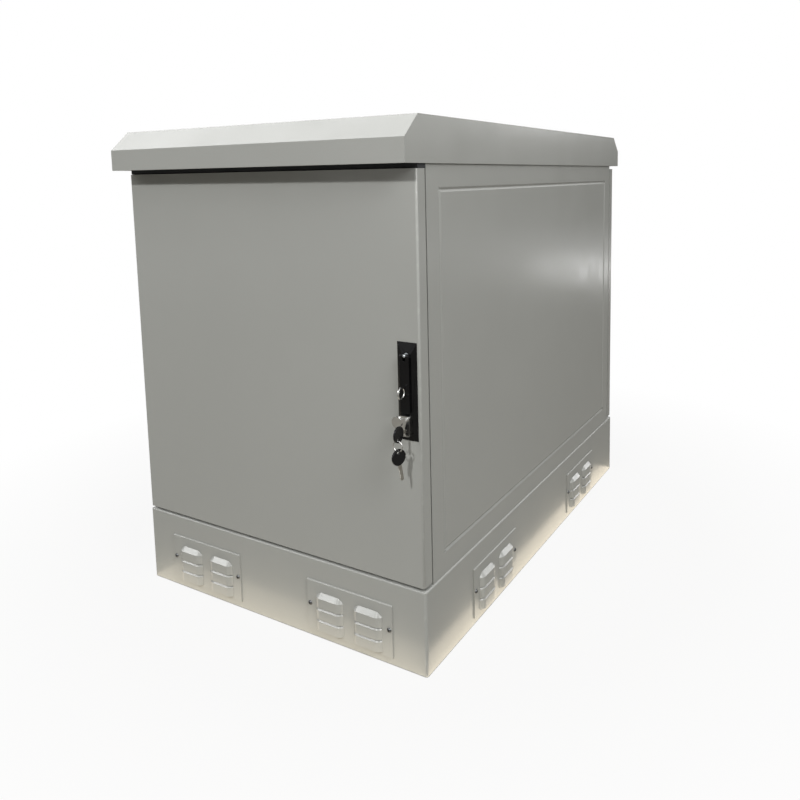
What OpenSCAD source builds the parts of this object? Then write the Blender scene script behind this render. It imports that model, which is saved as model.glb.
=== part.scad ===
// Roadside utility cabinet: a sheet steel body on a vented plinth, with a sloped roof cap,
// one front door on concealed hinges, a rod lock with keys, and a rack inside.
// Millimetres, +Z up. The origin is the middle of the plinth's underside, and the door faces -Y.

/* [Cabinet] */
// Width over the side panels
body_w = 600; // [580:10:800]
// Depth from the door face to the rear cover face
body_d = 900; // [840:10:1200]
// Height of the body on top of the plinth
body_h = 635; // [580:5:900]
// Sheet thickness of body, door and roof
sheet = 1.5; // [1.2:0.1:2]
// Width of the folded edge of each side panel, front and rear
side_return = 25; // [20:1:26]
// Width of the pressed groove in the side panels
groove_w = 8; // [6:0.5:12]
// Depth of the pressed groove
groove_depth = 2; // [1:0.25:3]
// Distance of the groove from the panel's edges, front, rear and below
groove_edge = 38; // [32:1:60]

/* [Plinth] */
// Height of the plinth
plinth_h = 135; // [115:5:200]
// Sheet thickness of the plinth
plinth_sheet = 2; // [1.5:0.5:3]
// Ledge by which the plinth stands out beyond each side panel
plinth_ledge = 2; // [0.5:0.5:4]
// Radius of the plinth's outer bend above
plinth_bend = 3.5; // [2:0.25:4]
// Width of the bottom flange
plinth_flange = 60; // [50:1:80]
// Diameter of the anchor bolt holes
anchor_hole_d = 14; // [10:1:18]

/* [Louvre plates] */
// Width of a louvre plate
vent_w = 166; // [160:1:180]
// Height of a louvre plate
vent_h = 86; // [80:1:95]
// Height of the plate's lower edge above the ground
vent_z = 12; // [8:1:16]
// Distance from the plinth's corner to a plate on the front or the rear
vent_corner_front = 60.5; // [50:0.5:75]
// Distance from the plinth's corner to a plate on a side
vent_corner_side = 149; // [60:1:200]
// Length of one louvre
louvre_len = 54; // [40:0.5:58]
// Distance by which a louvre stands out
louvre_out = 6.5; // [6.5:0.5:10]
// Distance between louvres
louvre_pitch = 20; // [19:0.5:21]

/* [Roof] */
// Overhang of the roof at the front and the rear
roof_over = 33; // [20:1:60]
// Height of the roof's vertical edge
roof_lip = 35; // [25:1:60]
// Rise of the sloped edge
roof_rise = 32.5; // [20:0.5:45]
// Depth of the sloped edge
roof_run = 35.5; // [20:0.5:80]

/* [Door] */
// Depth of the door and of the rear cover
door_depth = 22; // [21:0.5:24]
// Gap behind the door and the rear cover
door_gap = 3; // [2.5:0.25:4]
// Radius of the door's outer bends
door_bend = 3; // [2.5:0.25:4]
// Distance of the hinge pin from the door's left face
hinge_inset = 8; // [7.5:0.25:8.5]

/* [Lock] */
// Width of the lock housing
lock_w = 34; // [30:1:36]
// Height of the lock housing
lock_h = 146; // [140:1:180]
// Distance by which the lock housing stands out
lock_out = 3; // [2.5:0.25:5]
// Height of the lock's middle above the door's lower edge
lock_rise = 297.5; // [240:0.5:330]
// Distance of the lock's middle from the door's right face
lock_inset = 21.5; // [21:0.5:24]
// Distance the locking rods travel in a quarter turn
rod_throw = 13; // [10:0.5:13]

/* [Rack] */
// Distance from the side panel's face to the clear opening between the rack rails
rack_margin = 75; // [60:1:110]
// Distance of the front rails from the front frame
rack_setback = 40; // [30:5:120]

/* [Hidden] */
$fn = 48;

// Colours
paint = "#A4A5A1";
zinc = "#B9BCBE";
black = "#17181A";
chrome = "#D2D4D6";
rubber = "#26272A";
copper = "#B8734A";

// Body planes
half_w = body_w / 2;
half_d = body_d / 2;
inner_w = half_w - sheet;
frame_y = half_d - door_depth - door_gap;
frame_in = frame_y - sheet;
body_top = plinth_h + body_h;
floor_top = plinth_h + sheet;
ceiling = body_top - sheet;
cut = 1;

// Plinth
plinth_half_w = half_w + plinth_ledge;
plinth_corner = 4;
plinth_top_flange = 40;
anchor_x = plinth_half_w - plinth_flange / 2;
anchor_y = half_d - plinth_flange / 2;

// Louvre plates
vent_offset_front = plinth_half_w - vent_corner_front - vent_w / 2;
vent_offset_side = half_d - vent_corner_side - vent_w / 2;
vent_sheet = 2.2;
vent_edge_r = 1.8;
vent_screw_edge = 5.5;
vent_screw_x = vent_w / 2 - vent_screw_edge;
vent_screw_rise = 2.5;
vent_screw_z = vent_z + vent_h / 2 + vent_screw_rise;
vent_screw_r = 2;
vent_screw_free = 0.2;
vent_screw_head_r = 4;
vent_screw_head_h = 2.6;
vent_screw_len = 9;
vent_window_edge = 13;
vent_window_low = 5;
louvre_edge = 17;
louvre_top = vent_z + vent_h - louvre_edge;
louvre_inset = 4;
louvre_x = vent_w / 4 - louvre_inset;
louvre_lap = 3;
louvre_h = louvre_pitch + louvre_lap;
louvre_bridge = 3;
louvre_drop = 7;
louvre_slot_edge = 7.5;
louvre_end_in = 6;
louvre_end_r = louvre_end_in + louvre_out;
louvre_end = sqrt(louvre_end_r * louvre_end_r - louvre_end_in * louvre_end_in);
louvre_flat = louvre_len / 2 - louvre_end;
louvre_skin = 1.2;
louvre_rows = 3;

// Cable entry in the floor
cable_w = 300;
cable_d = 140;
cable_y = 210;
cable_lip = 6;

// Frames and door
opening_edge = 50;
opening_sill = 43.5;
opening_head = 53.5;
opening_half_w = half_w - opening_edge;
opening_low = floor_top + opening_sill;
opening_high = ceiling - opening_head;
lip_front = 12;
lip_y = frame_y + lip_front;
door_sill = 5;
door_head = 14;
door_low = plinth_h + door_sill;
door_high = body_top - door_head;
door_back = half_d - door_depth;
skin_in = half_d - sheet;
seal_w = 9.5;
strip_setback = 3;
strip_gap = 1.2;
strip_rise = 4;
seal_free = 0.3;
stiffener_w = 40;
stiffener_t = 12;

// Rear cover fasteners
spacer_r = 7;
spacer_edge = 12;
spacer_end = 60;
spacer_x = opening_half_w + spacer_edge;
spacer_rows = [door_low + spacer_end, (door_low + door_high) / 2, door_high - spacer_end];
cover_screw_r = 3;
cover_screw_free = 0.2;
cover_screw_head_r = 6;
cover_screw_head_h = 3;
cover_screw_past = 6;

// Roof
roof_side = 3;
roof_drop = 7;
roof_low = body_top - roof_drop;
roof_half_w = half_w + roof_side;
roof_half_d = half_d + roof_over;
roof_edge = roof_low + roof_lip;
roof_top = roof_edge + roof_rise;
roof_return = 15;
roof_angle = atan(roof_rise / roof_run);
support_y = frame_y * 0.7;
support_flange = 30;
support_end = 25;
support_half_w = half_w - support_end;
roof_bolt_x = half_w * 0.7;
roof_bolt_r = 4;
roof_bolt_free = 0.2;
roof_bolt_head_r = 8;
roof_bolt_head_h = 4;
roof_bolt_len = 16;

// Air slots in the top plate
slot_w = 8;
slot_len = 120;
slot_pitch = 24;
slot_count = 8;

// Rack rails
rail_t = 2;
rail_face = 23;
rail_side = 30;
rail_rear_more = 40;
rail_front_y = frame_in - rack_setback;
rail_rear_y = rail_front_y - rail_rear_more;
rail_inner = half_w - rack_margin;
rail_bolt_r = 5.5;
rail_bolt_h = 4;
rack_hole = 9.5;
rack_hole_edge = 7.55;
rack_hole_x = rail_inner + rack_hole_edge;
rack_unit = 44.45;
rack_steps = [6.35, 22.225, 38.1];
rail_len = ceiling - floor_top;
rail_spare = 20;
rack_units = floor((rail_len - rail_spare) / rack_unit);
rack_start = floor_top + (rail_len - rack_units * rack_unit) / 2;

// Earth bar
earth_len = 200;
earth_w = 20;
earth_t = 5;
earth_post_r = 7;
earth_post_h = 20;
earth_post_edge = 3;
earth_setback = 50;
earth_y = frame_in - earth_setback;
earth_holes = 7;
earth_hole_r = 3.5;
earth_hole_pitch = 22;

// Hinges
hinge_depth = 6;
hinge_end = 110;
hinge_x = -half_w + hinge_inset;
hinge_y = -half_d + hinge_depth;
hinge_pin_r = 2.5;
hinge_pin_past = 1;
hinge_pin_head_r = 3.7;
hinge_pin_head_h = 2;
hinge_fit = 0.05;
knuckle_r = 4.2;
knuckle_h = 12;
knuckle_gap = 0.5;
bracket_h = 24;
bracket_t = 3;
bracket_reach = 27.5;
bracket_foot = 7.5;
bracket_toe = 3;
bracket_ear = 6;
leaf_tab = 20;
hinge_rows = [door_high - hinge_end, door_low + hinge_end];

// Lock
lock_x = half_w - lock_inset;
lock_z = door_low + lock_rise;
lock_bevel_x = 10;
lock_bevel_z = 18;
lock_face = -half_d - lock_out;
spindle_edge = 19.5;
spindle_z = lock_z + lock_h / 2 - spindle_edge;
spindle_r = 5.5;
spindle_free = 0.5;
shoulder_y = 0.5 - half_d;
neck_r = 3.8;
tongue_w = 3.6;
tongue_free = 0.2;
lift_free = 0.3;
handle_t = 6;
handle_w = 16;
handle_y = lock_face - lift_free - handle_t / 2;
handle_end = handle_t / 2;
handle_pin_r = 1.5;
handle_fit = 0.05;
handle_pin_inset = 2;
handle_reach = 29.5;
handle_low = lock_z - handle_reach;
fork_free = 0.3;
fork_depth = 7;
eye_rise = 2;
eye_z = lock_z + eye_rise;
eye_r = 9;
eye_bore_r = 7.2;
eye_t = 2;
eye_out = 8.4;
eye_foot_h = 8;
eye_y = handle_y - handle_t / 2 - eye_out;

// Rods, cam, guides and keepers
cam_gap = 2;
cam_front = skin_in - cam_gap;
cam_t = 3;
cam_rim = 4;
cam_pin_r = 2.5;
cam_pin_rim = 1;
cam_pin_past = 0.4;
rod_w = 16;
rod_t = 2.5;
rod_free = 0.7;
rod_cam_gap = 1.5;
rod_gap = 1;
upper_rod_y = -(cam_front - cam_t - rod_cam_gap);
lower_rod_y = upper_rod_y + rod_t + rod_gap;
rod_lag = rod_throw * 0.22;
foot_wall = 2.5;
foot_lap = 0.5;
upper_rod_edge = 34;
lower_rod_edge = 36;
upper_rod_end = door_high - upper_rod_edge;
lower_rod_end = door_low + lower_rod_edge;
guide_w = 26;
guide_h = 16;
guide_wall = 3;
guide_free = 0.3;
upper_guide_z = (spindle_z + upper_rod_end) / 2;
lower_guide_z = (spindle_z + lower_rod_end) / 2;
keeper_t = 3;
keeper_h = 22;
keeper_free = 4;
keeper_tab_gap = 1.2;
keeper_edge = 10;
keeper_web_x = half_w - keeper_edge;

// Lock cylinder, keys and dust cover
cyl_w = 17;
cyl_h = 30;
cyl_corner = 2.5;
cyl_out = 12.5;
cyl_free = 0.1;
cyl_edge = 25;
cyl_z = lock_z - lock_h / 2 + cyl_edge;
cyl_front = -half_d - cyl_out;
plug_drop = 7.5;
plug_z = cyl_z - plug_drop;
plug_r = 5.5;
plug_fit = 0.05;
plug_floor = 2;
plug_end_gap = 1;
plug_back = -half_d - plug_floor;
blade_t = 2;
blade_h = 5.5;
blade_len = 8.5;
slot_free = 0.1;
bow_r = 12;
bow_t = 3.2;
bow_gap = 2.7;
bow_y = cyl_front - bow_gap - bow_r;
bow_hole_r = 2.5;
bow_hole_out = 2.5;
bow_hole_drop = 7.5;
ring_r = 7.5;
ring_wire_r = 0.8;
ring_free = 0.25;
ring_y = bow_y - bow_hole_out;
bow_hole_z = plug_z - bow_hole_drop;
ring_hang = bow_hole_r - ring_wire_r - ring_free;
ring_z = bow_hole_z - ring_hang - ring_r;
spare_hang = 1;
spare_hole_z = ring_z - ring_r - spare_hang;
spare_turn = -18;
spare_blade_len = 23.5;
spare_lean = 8.5;
spare_hole_edge = 4;
cover_r = 8.3;
cover_back = 0.3;
cover_front = 2.5;
cover_side = 3.5;
cover_rise = 17;
cover_pivot_x = lock_x + cover_side;
cover_pivot_z = plug_z + cover_rise;
cover_arm = 15.5;
cover_arm_w = 6;
cover_boss_r = 3;
cover_open = 73;
cover_rivet_r = 1.5;
cover_rivet_past = 0.5;
cover_fit = 0.05;

// Block centred on x, from y0 to y1 and z0 to z1
module slab(w, y0, y1, z0, z1) {
    translate([-w / 2, y0, z0]) cube([w, y1 - y0, z1 - z0]);
}

// Cylinder along Y from y0 to y1
module bar_y(r, x, y0, y1, z) {
    translate([x, y0, z]) rotate([-90, 0, 0]) cylinder(r = r, h = y1 - y0);
}

// Cylinder along X, centred on x
module bar_x(r, x, len, y, z) {
    translate([x, y, z]) rotate([0, 90, 0]) cylinder(r = r, h = len, center = true);
}

// Profile in Y and Z, swept along X and centred on it
module sweep_x(len) {
    rotate([90, 0, 90]) linear_extrude(height = len, center = true) children();
}

// Block along Y with four rounded corners in X and Z
module tile_y(w, h, r, y0, y1, z) {
    slab(w, y0, y1, z - h / 2 + r, z + h / 2 - r);
    slab(w - 2 * r, y0, y1, z - h / 2, z + h / 2);
    for (side = [-1, 1], up = [-1, 1])
        bar_y(r, side * (w / 2 - r), y0, y1, z + up * (h / 2 - r));
}

// Block with all four upright edges rounded
module upright_block(half_x, half_y, r, z0, z1) {
    slab(2 * half_x, -half_y + r, half_y - r, z0, z1);
    slab(2 * (half_x - r), -half_y, half_y, z0, z1);
    for (x = [-1, 1], y = [-1, 1])
        translate([x * (half_x - r), y * (half_y - r), z0]) cylinder(r = r, h = z1 - z0);
}

// Block from the ground up whose two upper edges along X are rounded
module round_top(half_x, half_y, r, z1) {
    slab(2 * half_x, -half_y, half_y, 0, z1 - r);
    slab(2 * half_x, -half_y + r, half_y - r, 0, z1);
    for (y = [-1, 1])
        bar_x(r, 0, 2 * half_x, y * (half_y - r), z1 - r);
}

// Copies for a louvre plate's place: turn 0 faces the front
module at_vent(turn, offset) {
    face = (turn == 0 || turn == 180) ? half_d : plinth_half_w;
    rotate([0, 0, turn]) translate([offset, -face, 0]) children();
}

// All eight louvre plate places
module at_every_vent() {
    for (turn = [0, 180], side = [-1, 1])
        at_vent(turn, side * vent_offset_front) children();
    for (turn = [90, 270], side = [-1, 1])
        at_vent(turn, side * vent_offset_side) children();
}

// Plinth: folded wall with a flange above and below, air windows and anchor holes
module plinth() {
    color(paint) difference() {
        intersection() {
            upright_block(plinth_half_w, half_d, plinth_corner, 0, plinth_h);
            round_top(plinth_half_w, half_d, plinth_bend, plinth_h);
            rotate([0, 0, 90]) round_top(half_d, plinth_half_w, plinth_bend, plinth_h);
        }
        slab(2 * (plinth_half_w - plinth_sheet), -half_d + plinth_sheet, half_d - plinth_sheet,
            plinth_sheet, plinth_h - plinth_sheet);
        slab(2 * (plinth_half_w - plinth_flange), -half_d + plinth_flange, half_d - plinth_flange,
            -cut, plinth_h / 2);
        slab(2 * (plinth_half_w - plinth_top_flange), -half_d + plinth_top_flange,
            half_d - plinth_top_flange, plinth_h / 2, plinth_h + cut);
        at_every_vent() {
            slab(vent_w - 2 * vent_window_edge, -cut, plinth_sheet + cut,
                vent_z + vent_window_low, vent_z + vent_h - vent_window_edge);
            for (side = [-1, 1])
                bar_y(vent_screw_r + vent_screw_free, side * vent_screw_x, -cut,
                    plinth_sheet + cut, vent_screw_z);
        }
        for (x = [-1, 1], y = [-1, 1])
            translate([x * anchor_x, y * anchor_y, -cut])
                cylinder(d = anchor_hole_d, h = plinth_sheet + 2 * cut);
    }
}

// Louvre hood from its top on the plate's face, with cones at its ends: skin shrinks it, inward
// and below extend it
module hood(skin, inward, below) {
    out = louvre_out - skin;
    bend = -skin - louvre_drop;
    low = -louvre_h - below;
    intersection() {
        union() {
            sweep_x(2 * louvre_flat) polygon([
                [inward, -skin], [0, -skin], [-out, bend], [-out, low], [inward, low]
            ]);
            for (side = [-1, 1])
                translate([side * louvre_flat, louvre_end_in, 0]) {
                    translate([0, 0, bend])
                        cylinder(r1 = louvre_end_in + out, r2 = louvre_end_in, h = louvre_drop);
                    translate([0, 0, low]) cylinder(r = louvre_end_in + out, h = bend - low);
                }
        }
        slab(louvre_len + 2 * louvre_end_in, -louvre_out, inward, low, -skin);
    }
}

// Louvre places on a plate
module at_louvres() {
    for (side = [-1, 1], row = [0 : louvre_rows - 1])
        translate([side * louvre_x, -vent_sheet, louvre_top - row * louvre_pitch]) children();
}

// Louvre plate with a rounded upper edge and pressed hoods that open downwards, each lapping
// over the next
module vent_plate() {
    slot_len = louvre_len - 2 * louvre_slot_edge;
    top = vent_z + vent_h;
    color(paint) {
        difference() {
            union() {
                slab(vent_w, -vent_sheet, 0, vent_z, top - vent_edge_r);
                intersection() {
                    bar_x(vent_edge_r, 0, vent_w, vent_edge_r - vent_sheet, top - vent_edge_r);
                    slab(vent_w, -vent_sheet, 0, vent_z, top);
                }
                slab(vent_w, vent_edge_r - vent_sheet, 0, vent_z, top);
            }
            at_louvres()
                slab(slot_len, -cut, vent_sheet + cut, louvre_bridge - louvre_pitch, -louvre_drop);
            for (side = [-1, 1])
                bar_y(vent_screw_r + vent_screw_free, side * vent_screw_x, -vent_sheet - cut, cut,
                    vent_screw_z);
        }
        at_louvres() difference() {
            hood(0, vent_sheet, 0);
            hood(louvre_skin, vent_sheet + cut, cut);
        }
    }
}

module vent_front_left() { at_vent(0, -vent_offset_front) vent_plate(); }
module vent_front_right() { at_vent(0, vent_offset_front) vent_plate(); }
module vent_rear_left() { at_vent(180, vent_offset_front) vent_plate(); }
module vent_rear_right() { at_vent(180, -vent_offset_front) vent_plate(); }
module vent_left_front() { at_vent(270, vent_offset_side) vent_plate(); }
module vent_left_rear() { at_vent(270, -vent_offset_side) vent_plate(); }
module vent_right_front() { at_vent(90, -vent_offset_side) vent_plate(); }
module vent_right_rear() { at_vent(90, vent_offset_side) vent_plate(); }

// Dome-headed screw along Y whose head sits outside y = 0
module dome_screw(r, head_r, head_h, len) {
    dome = (head_r * head_r + head_h * head_h) / (2 * head_h);
    bar_y(r, 0, -head_h / 4, len, 0);
    intersection() {
        translate([0, dome - head_h, 0]) sphere(r = dome);
        bar_y(head_r, 0, -head_h - cut, 0, 0);
    }
}

// Two screws on each louvre plate
module vent_screws() {
    color(zinc) at_every_vent()
        for (side = [-1, 1])
            translate([side * vent_screw_x, -vent_sheet, vent_screw_z])
                dome_screw(vent_screw_r, vent_screw_head_r, vent_screw_head_h, vent_screw_len);
}

// Floor plate with the cable entry
module floor_plate() {
    color(paint) difference() {
        slab(2 * inner_w, -frame_in, frame_in, plinth_h, floor_top);
        slab(cable_w, cable_y - cable_d / 2, cable_y + cable_d / 2, plinth_h - cut, floor_top + cut);
    }
}

// Rubber edge lying round the cable entry
module cable_trim() {
    color(rubber) difference() {
        slab(cable_w + cable_lip, cable_y - (cable_d + cable_lip) / 2,
            cable_y + (cable_d + cable_lip) / 2, floor_top, floor_top + cable_lip);
        slab(cable_w - cable_lip, cable_y - (cable_d - cable_lip) / 2,
            cable_y + (cable_d - cable_lip) / 2, floor_top - cut, floor_top + cable_lip + cut);
    }
}

// Pressed groove of the right side panel: a bar along Y or Z with the given section
module groove_ring(points) {
    low = plinth_h + groove_edge;
    high = roof_low - groove_edge;
    end = frame_y - groove_edge;
    for (z = [low, high])
        translate([half_w, 0, z]) rotate([90, 0, 0])
            linear_extrude(height = 2 * end + groove_w, center = true) polygon(points);
    for (y = [-end, end])
        translate([half_w, y, (low + high) / 2])
            linear_extrude(height = high - low + groove_w, center = true) polygon(points);
}

// Right side panel: wall, folded front and rear edges, pressed groove
module side_panel() {
    half_g = groove_w / 2;
    color(paint) difference() {
        union() {
            translate([inner_w, -frame_y, plinth_h]) cube([sheet, 2 * frame_y, body_h]);
            for (y = [-frame_y, frame_in])
                translate([inner_w - side_return, y, plinth_h])
                    cube([side_return + sheet / 2, sheet, body_h]);
            groove_ring([
                [-sheet / 2, half_g], [-sheet - groove_depth, half_g / 2],
                [-sheet - groove_depth, -half_g / 2], [-sheet / 2, -half_g]
            ]);
        }
        groove_ring([
            [-groove_depth, 0], [0, half_g - 0.5], [cut, half_g - 0.5],
            [cut, 0.5 - half_g], [0, 0.5 - half_g]
        ]);
    }
}

module side_panel_right() { side_panel(); }
module side_panel_left() { mirror([1, 0, 0]) side_panel(); }

// Flat ring behind the panel edges with a lip towards the door, drawn for the front
module opening_frame(lip_out) {
    difference() {
        union() {
            slab(2 * inner_w, -frame_in, -frame_in + sheet, floor_top, ceiling);
            slab(2 * (opening_half_w + sheet), -lip_out, -frame_in + sheet / 2,
                opening_low - sheet, opening_high + sheet);
        }
        slab(2 * opening_half_w, -lip_out - cut, -frame_in + sheet + cut, opening_low, opening_high);
    }
}

module front_frame() { color(paint) opening_frame(lip_y); }

// Rubber strip on the panel edges, closing the gap between the door and the roof
module weather_strip() {
    color(rubber)
        slab(body_w, -half_d + strip_setback, -frame_y, door_high + strip_gap, roof_low + strip_rise);
}

// Rear frame: its screw holes take the rear cover's screws
module rear_frame() {
    color(paint) difference() {
        mirror([0, 1, 0]) opening_frame(lip_y);
        for (x = [-spacer_x, spacer_x], z = spacer_rows)
            bar_y(cover_screw_r + cover_screw_free, x, frame_in - 2 * sheet, frame_in + cut, z);
    }
}

// Folded pan that faces the front, with rounded upright edges
module pan() {
    inner_bend = door_bend - sheet;
    difference() {
        union() {
            slab(body_w, -half_d + door_bend, -door_back, door_low, door_high);
            slab(body_w - 2 * door_bend, -half_d, -door_back, door_low, door_high);
            for (side = [-1, 1])
                translate([side * (half_w - door_bend), -half_d + door_bend, door_low])
                    cylinder(r = door_bend, h = door_high - door_low);
        }
        slab(2 * inner_w, -half_d + door_bend, -door_back + cut, door_low + sheet, door_high - sheet);
        slab(2 * (half_w - door_bend), -skin_in, -door_back + cut, door_low + sheet,
            door_high - sheet);
        for (side = [-1, 1])
            translate([side * (half_w - door_bend), -half_d + door_bend, door_low + sheet])
                cylinder(r = inner_bend, h = door_high - door_low - 2 * sheet);
    }
}

// Rear cover: a pan without a lock, screwed on
module rear_cover() {
    color(paint) difference() {
        mirror([0, 1, 0]) pan();
        for (x = [-spacer_x, spacer_x], z = spacer_rows)
            bar_y(cover_screw_r + cover_screw_free, x, skin_in - cut, half_d + cut, z);
    }
}

// Sleeves between the rear frame and the rear cover
module rear_cover_spacers() {
    color(zinc) for (x = [-spacer_x, spacer_x], z = spacer_rows) difference() {
        bar_y(spacer_r, x, frame_in, skin_in, z);
        bar_y(cover_screw_r + cover_screw_free, x, frame_in - cut, skin_in + cut, z);
    }
}

module rear_cover_screws() {
    color(zinc) for (x = [-spacer_x, spacer_x], z = spacer_rows)
        translate([x, half_d, z]) rotate([0, 0, 180])
            dome_screw(cover_screw_r, cover_screw_head_r, cover_screw_head_h,
                half_d - frame_in + cover_screw_past);
}

// Top plate with two rows of air slots
module top_plate() {
    color(paint) difference() {
        slab(2 * inner_w, -frame_in, frame_in, ceiling, body_top);
        for (x = [-1, 1], i = [0 : slot_count - 1])
            translate([x * half_w / 2, (i - (slot_count - 1) / 2) * slot_pitch, ceiling - cut])
                translate([-slot_len / 2, -slot_w / 2, 0]) cube([slot_len, slot_w, sheet + 2 * cut]);
    }
}

// Channel between the top plate and the roof, open to the rear
module roof_support() {
    color(zinc) difference() {
        slab(2 * support_half_w, support_y, support_y + support_flange, body_top, roof_top - sheet);
        slab(2 * support_half_w + 2 * cut, support_y + plinth_sheet, support_y + support_flange + cut,
            body_top + plinth_sheet, roof_top - sheet - plinth_sheet);
        for (x = [-roof_bolt_x, roof_bolt_x])
            translate([x, support_y + support_flange / 2, roof_top - roof_bolt_len])
                cylinder(r = roof_bolt_r + roof_bolt_free, h = roof_bolt_len);
    }
}

module roof_support_rear() { roof_support(); }
module roof_support_front() { mirror([0, 1, 0]) roof_support(); }

// Roof profile in Y and Z, shrunk by skin
module roof_profile(skin) {
    y = roof_half_d - skin;
    edge = roof_edge - skin * tan((90 - roof_angle) / 2);
    crest = roof_half_d - roof_run - skin * tan(roof_angle / 2);
    low = roof_low + skin;
    polygon([
        [-y, low], [-y, edge], [-crest, roof_top - skin],
        [crest, roof_top - skin], [y, edge], [y, low]
    ]);
}

// Roof cap: folded sheet, open below, with a turned-in lower edge at the front and the rear
module roof_cap() {
    color(paint) difference() {
        sweep_x(2 * roof_half_w) roof_profile(0);
        sweep_x(2 * (roof_half_w - sheet)) roof_profile(sheet);
        slab(2 * (roof_half_w - sheet), -roof_half_d + roof_return, roof_half_d - roof_return,
            roof_low - cut, roof_low + 2 * sheet);
        at_roof_bolts()
            cylinder(r = roof_bolt_r + roof_bolt_free, h = roof_bolt_len, center = true);
    }
}

// Places of the roof bolts on the roof's top
module at_roof_bolts() {
    for (x = [-roof_bolt_x, roof_bolt_x], y = [-1, 1])
        translate([x, y * (support_y + support_flange / 2), roof_top]) children();
}

module roof_bolts() {
    color(zinc) at_roof_bolts() rotate([-90, 0, 0])
        dome_screw(roof_bolt_r, roof_bolt_head_r, roof_bolt_head_h, roof_bolt_len);
}

// Rack rail: angle with a foot at each end, drawn for the right front
module rail(y) {
    color(zinc) difference() {
        union() {
            translate([rail_inner, -y, floor_top]) cube([rail_face, rail_t, rail_len]);
            translate([rail_inner + rail_face - rail_t, -y, floor_top])
                cube([rail_t, rail_side, rail_len]);
            for (z = [floor_top, ceiling - rail_t])
                translate([rail_inner, -y, z]) cube([rail_face, rail_side, rail_t]);
        }
        for (i = [0 : rack_units - 1], step = rack_steps)
            translate([rack_hole_x - rack_hole / 2, -y - cut,
                    rack_start + i * rack_unit + step - rack_hole / 2])
                cube([rack_hole, rail_t + 2 * cut, rack_hole]);
    }
}

module rail_front_right() { rail(rail_front_y); }
module rail_front_left() { mirror([1, 0, 0]) rail(rail_front_y); }
module rail_rear_right() { mirror([0, 1, 0]) rail(rail_rear_y); }
module rail_rear_left() { mirror([1, 0, 0]) mirror([0, 1, 0]) rail(rail_rear_y); }

// Bolt heads that hold the rails' feet, below and above
module rail_bolts() {
    x = rail_inner + rail_face / 2;
    color(zinc) for (sx = [-1, 1], y = [-rail_front_y + rail_side / 2, rail_rear_y - rail_side / 2]) {
        translate([sx * x, y, floor_top + rail_t])
            cylinder(r = rail_bolt_r, h = rail_bolt_h, $fn = 6);
        translate([sx * x, y, ceiling - rail_t - rail_bolt_h])
            cylinder(r = rail_bolt_r, h = rail_bolt_h, $fn = 6);
    }
}

// Copper earth bar on two posts at the rear of the floor
module earth_bar() {
    color(copper) difference() {
        slab(earth_len, earth_y - earth_w / 2, earth_y + earth_w / 2, floor_top + earth_post_h,
            floor_top + earth_post_h + earth_t);
        for (i = [0 : earth_holes - 1])
            translate([(i - (earth_holes - 1) / 2) * earth_hole_pitch, earth_y,
                    floor_top + earth_post_h - cut])
                cylinder(r = earth_hole_r, h = earth_t + 2 * cut);
    }
}

module earth_posts() {
    color(rubber) for (side = [-1, 1])
        translate([side * (earth_len / 2 - earth_post_r - earth_post_edge), earth_y, floor_top])
            cylinder(r = earth_post_r, h = earth_post_h);
}

// Upright cylinder on the hinge axis
module on_hinge(r, z0, z1) {
    translate([hinge_x, hinge_y, z0]) cylinder(r = r, h = z1 - z0);
}

// Fixed half of a hinge: foot on the frame, neck round the door's edge, knuckle on the pin
module hinge_bracket(z) {
    z0 = z - bracket_h / 2;
    leg_x = hinge_x + bracket_reach;
    color(zinc) difference() {
        union() {
            on_hinge(knuckle_r, z0, z0 + bracket_h);
            translate([hinge_x, hinge_y - bracket_t / 2, z0])
                cube([bracket_reach, bracket_t, bracket_h]);
            translate([leg_x - bracket_t, hinge_y - bracket_t / 2, z0])
                cube([bracket_t, -frame_in - hinge_y + bracket_t / 2, bracket_h]);
            translate([leg_x - bracket_foot, -frame_in - bracket_t, z0 - bracket_ear])
                cube([bracket_foot + bracket_toe, bracket_t, bracket_h + 2 * bracket_ear]);
        }
        on_hinge(hinge_pin_r, z0 - cut, z0 + bracket_h + cut);
    }
}

module hinge_bracket_upper() { hinge_bracket(hinge_rows[0]); }
module hinge_bracket_lower() { hinge_bracket(hinge_rows[1]); }

// Hinge pin, held in the bracket, with a head above
module hinge_pin(z) {
    reach = bracket_h / 2 + knuckle_gap + knuckle_h;
    color(zinc) {
        on_hinge(hinge_pin_r, z - reach, z + reach + hinge_pin_past);
        on_hinge(hinge_pin_head_r, z + reach + knuckle_gap,
            z + reach + knuckle_gap + hinge_pin_head_h);
    }
}

module hinge_pin_upper() { hinge_pin(hinge_rows[0]); }
module hinge_pin_lower() { hinge_pin(hinge_rows[1]); }

// Moving half of a hinge: two knuckles on tabs that are fixed to the door's skin
module hinge_leaf(z) {
    color(zinc) for (side = [-1, 1]) {
        mid = z + side * (bracket_h / 2 + knuckle_gap + knuckle_h / 2);
        difference() {
            union() {
                on_hinge(knuckle_r, mid - knuckle_h / 2, mid + knuckle_h / 2);
                translate([hinge_x, -skin_in, mid - knuckle_h / 2])
                    cube([leaf_tab, hinge_y + skin_in, knuckle_h]);
            }
            on_hinge(hinge_pin_r + hinge_fit, mid - knuckle_h, mid + knuckle_h);
        }
    }
}

module hinge_leaf_upper() { hinge_leaf(hinge_rows[0]); }
module hinge_leaf_lower() { hinge_leaf(hinge_rows[1]); }

// Door pan with holes for the lock's spindle
module door_panel() {
    color(paint) difference() {
        pan();
        bar_y(spindle_r + spindle_free, lock_x, -half_d - cut, -skin_in + cut, spindle_z);
    }
}

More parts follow.
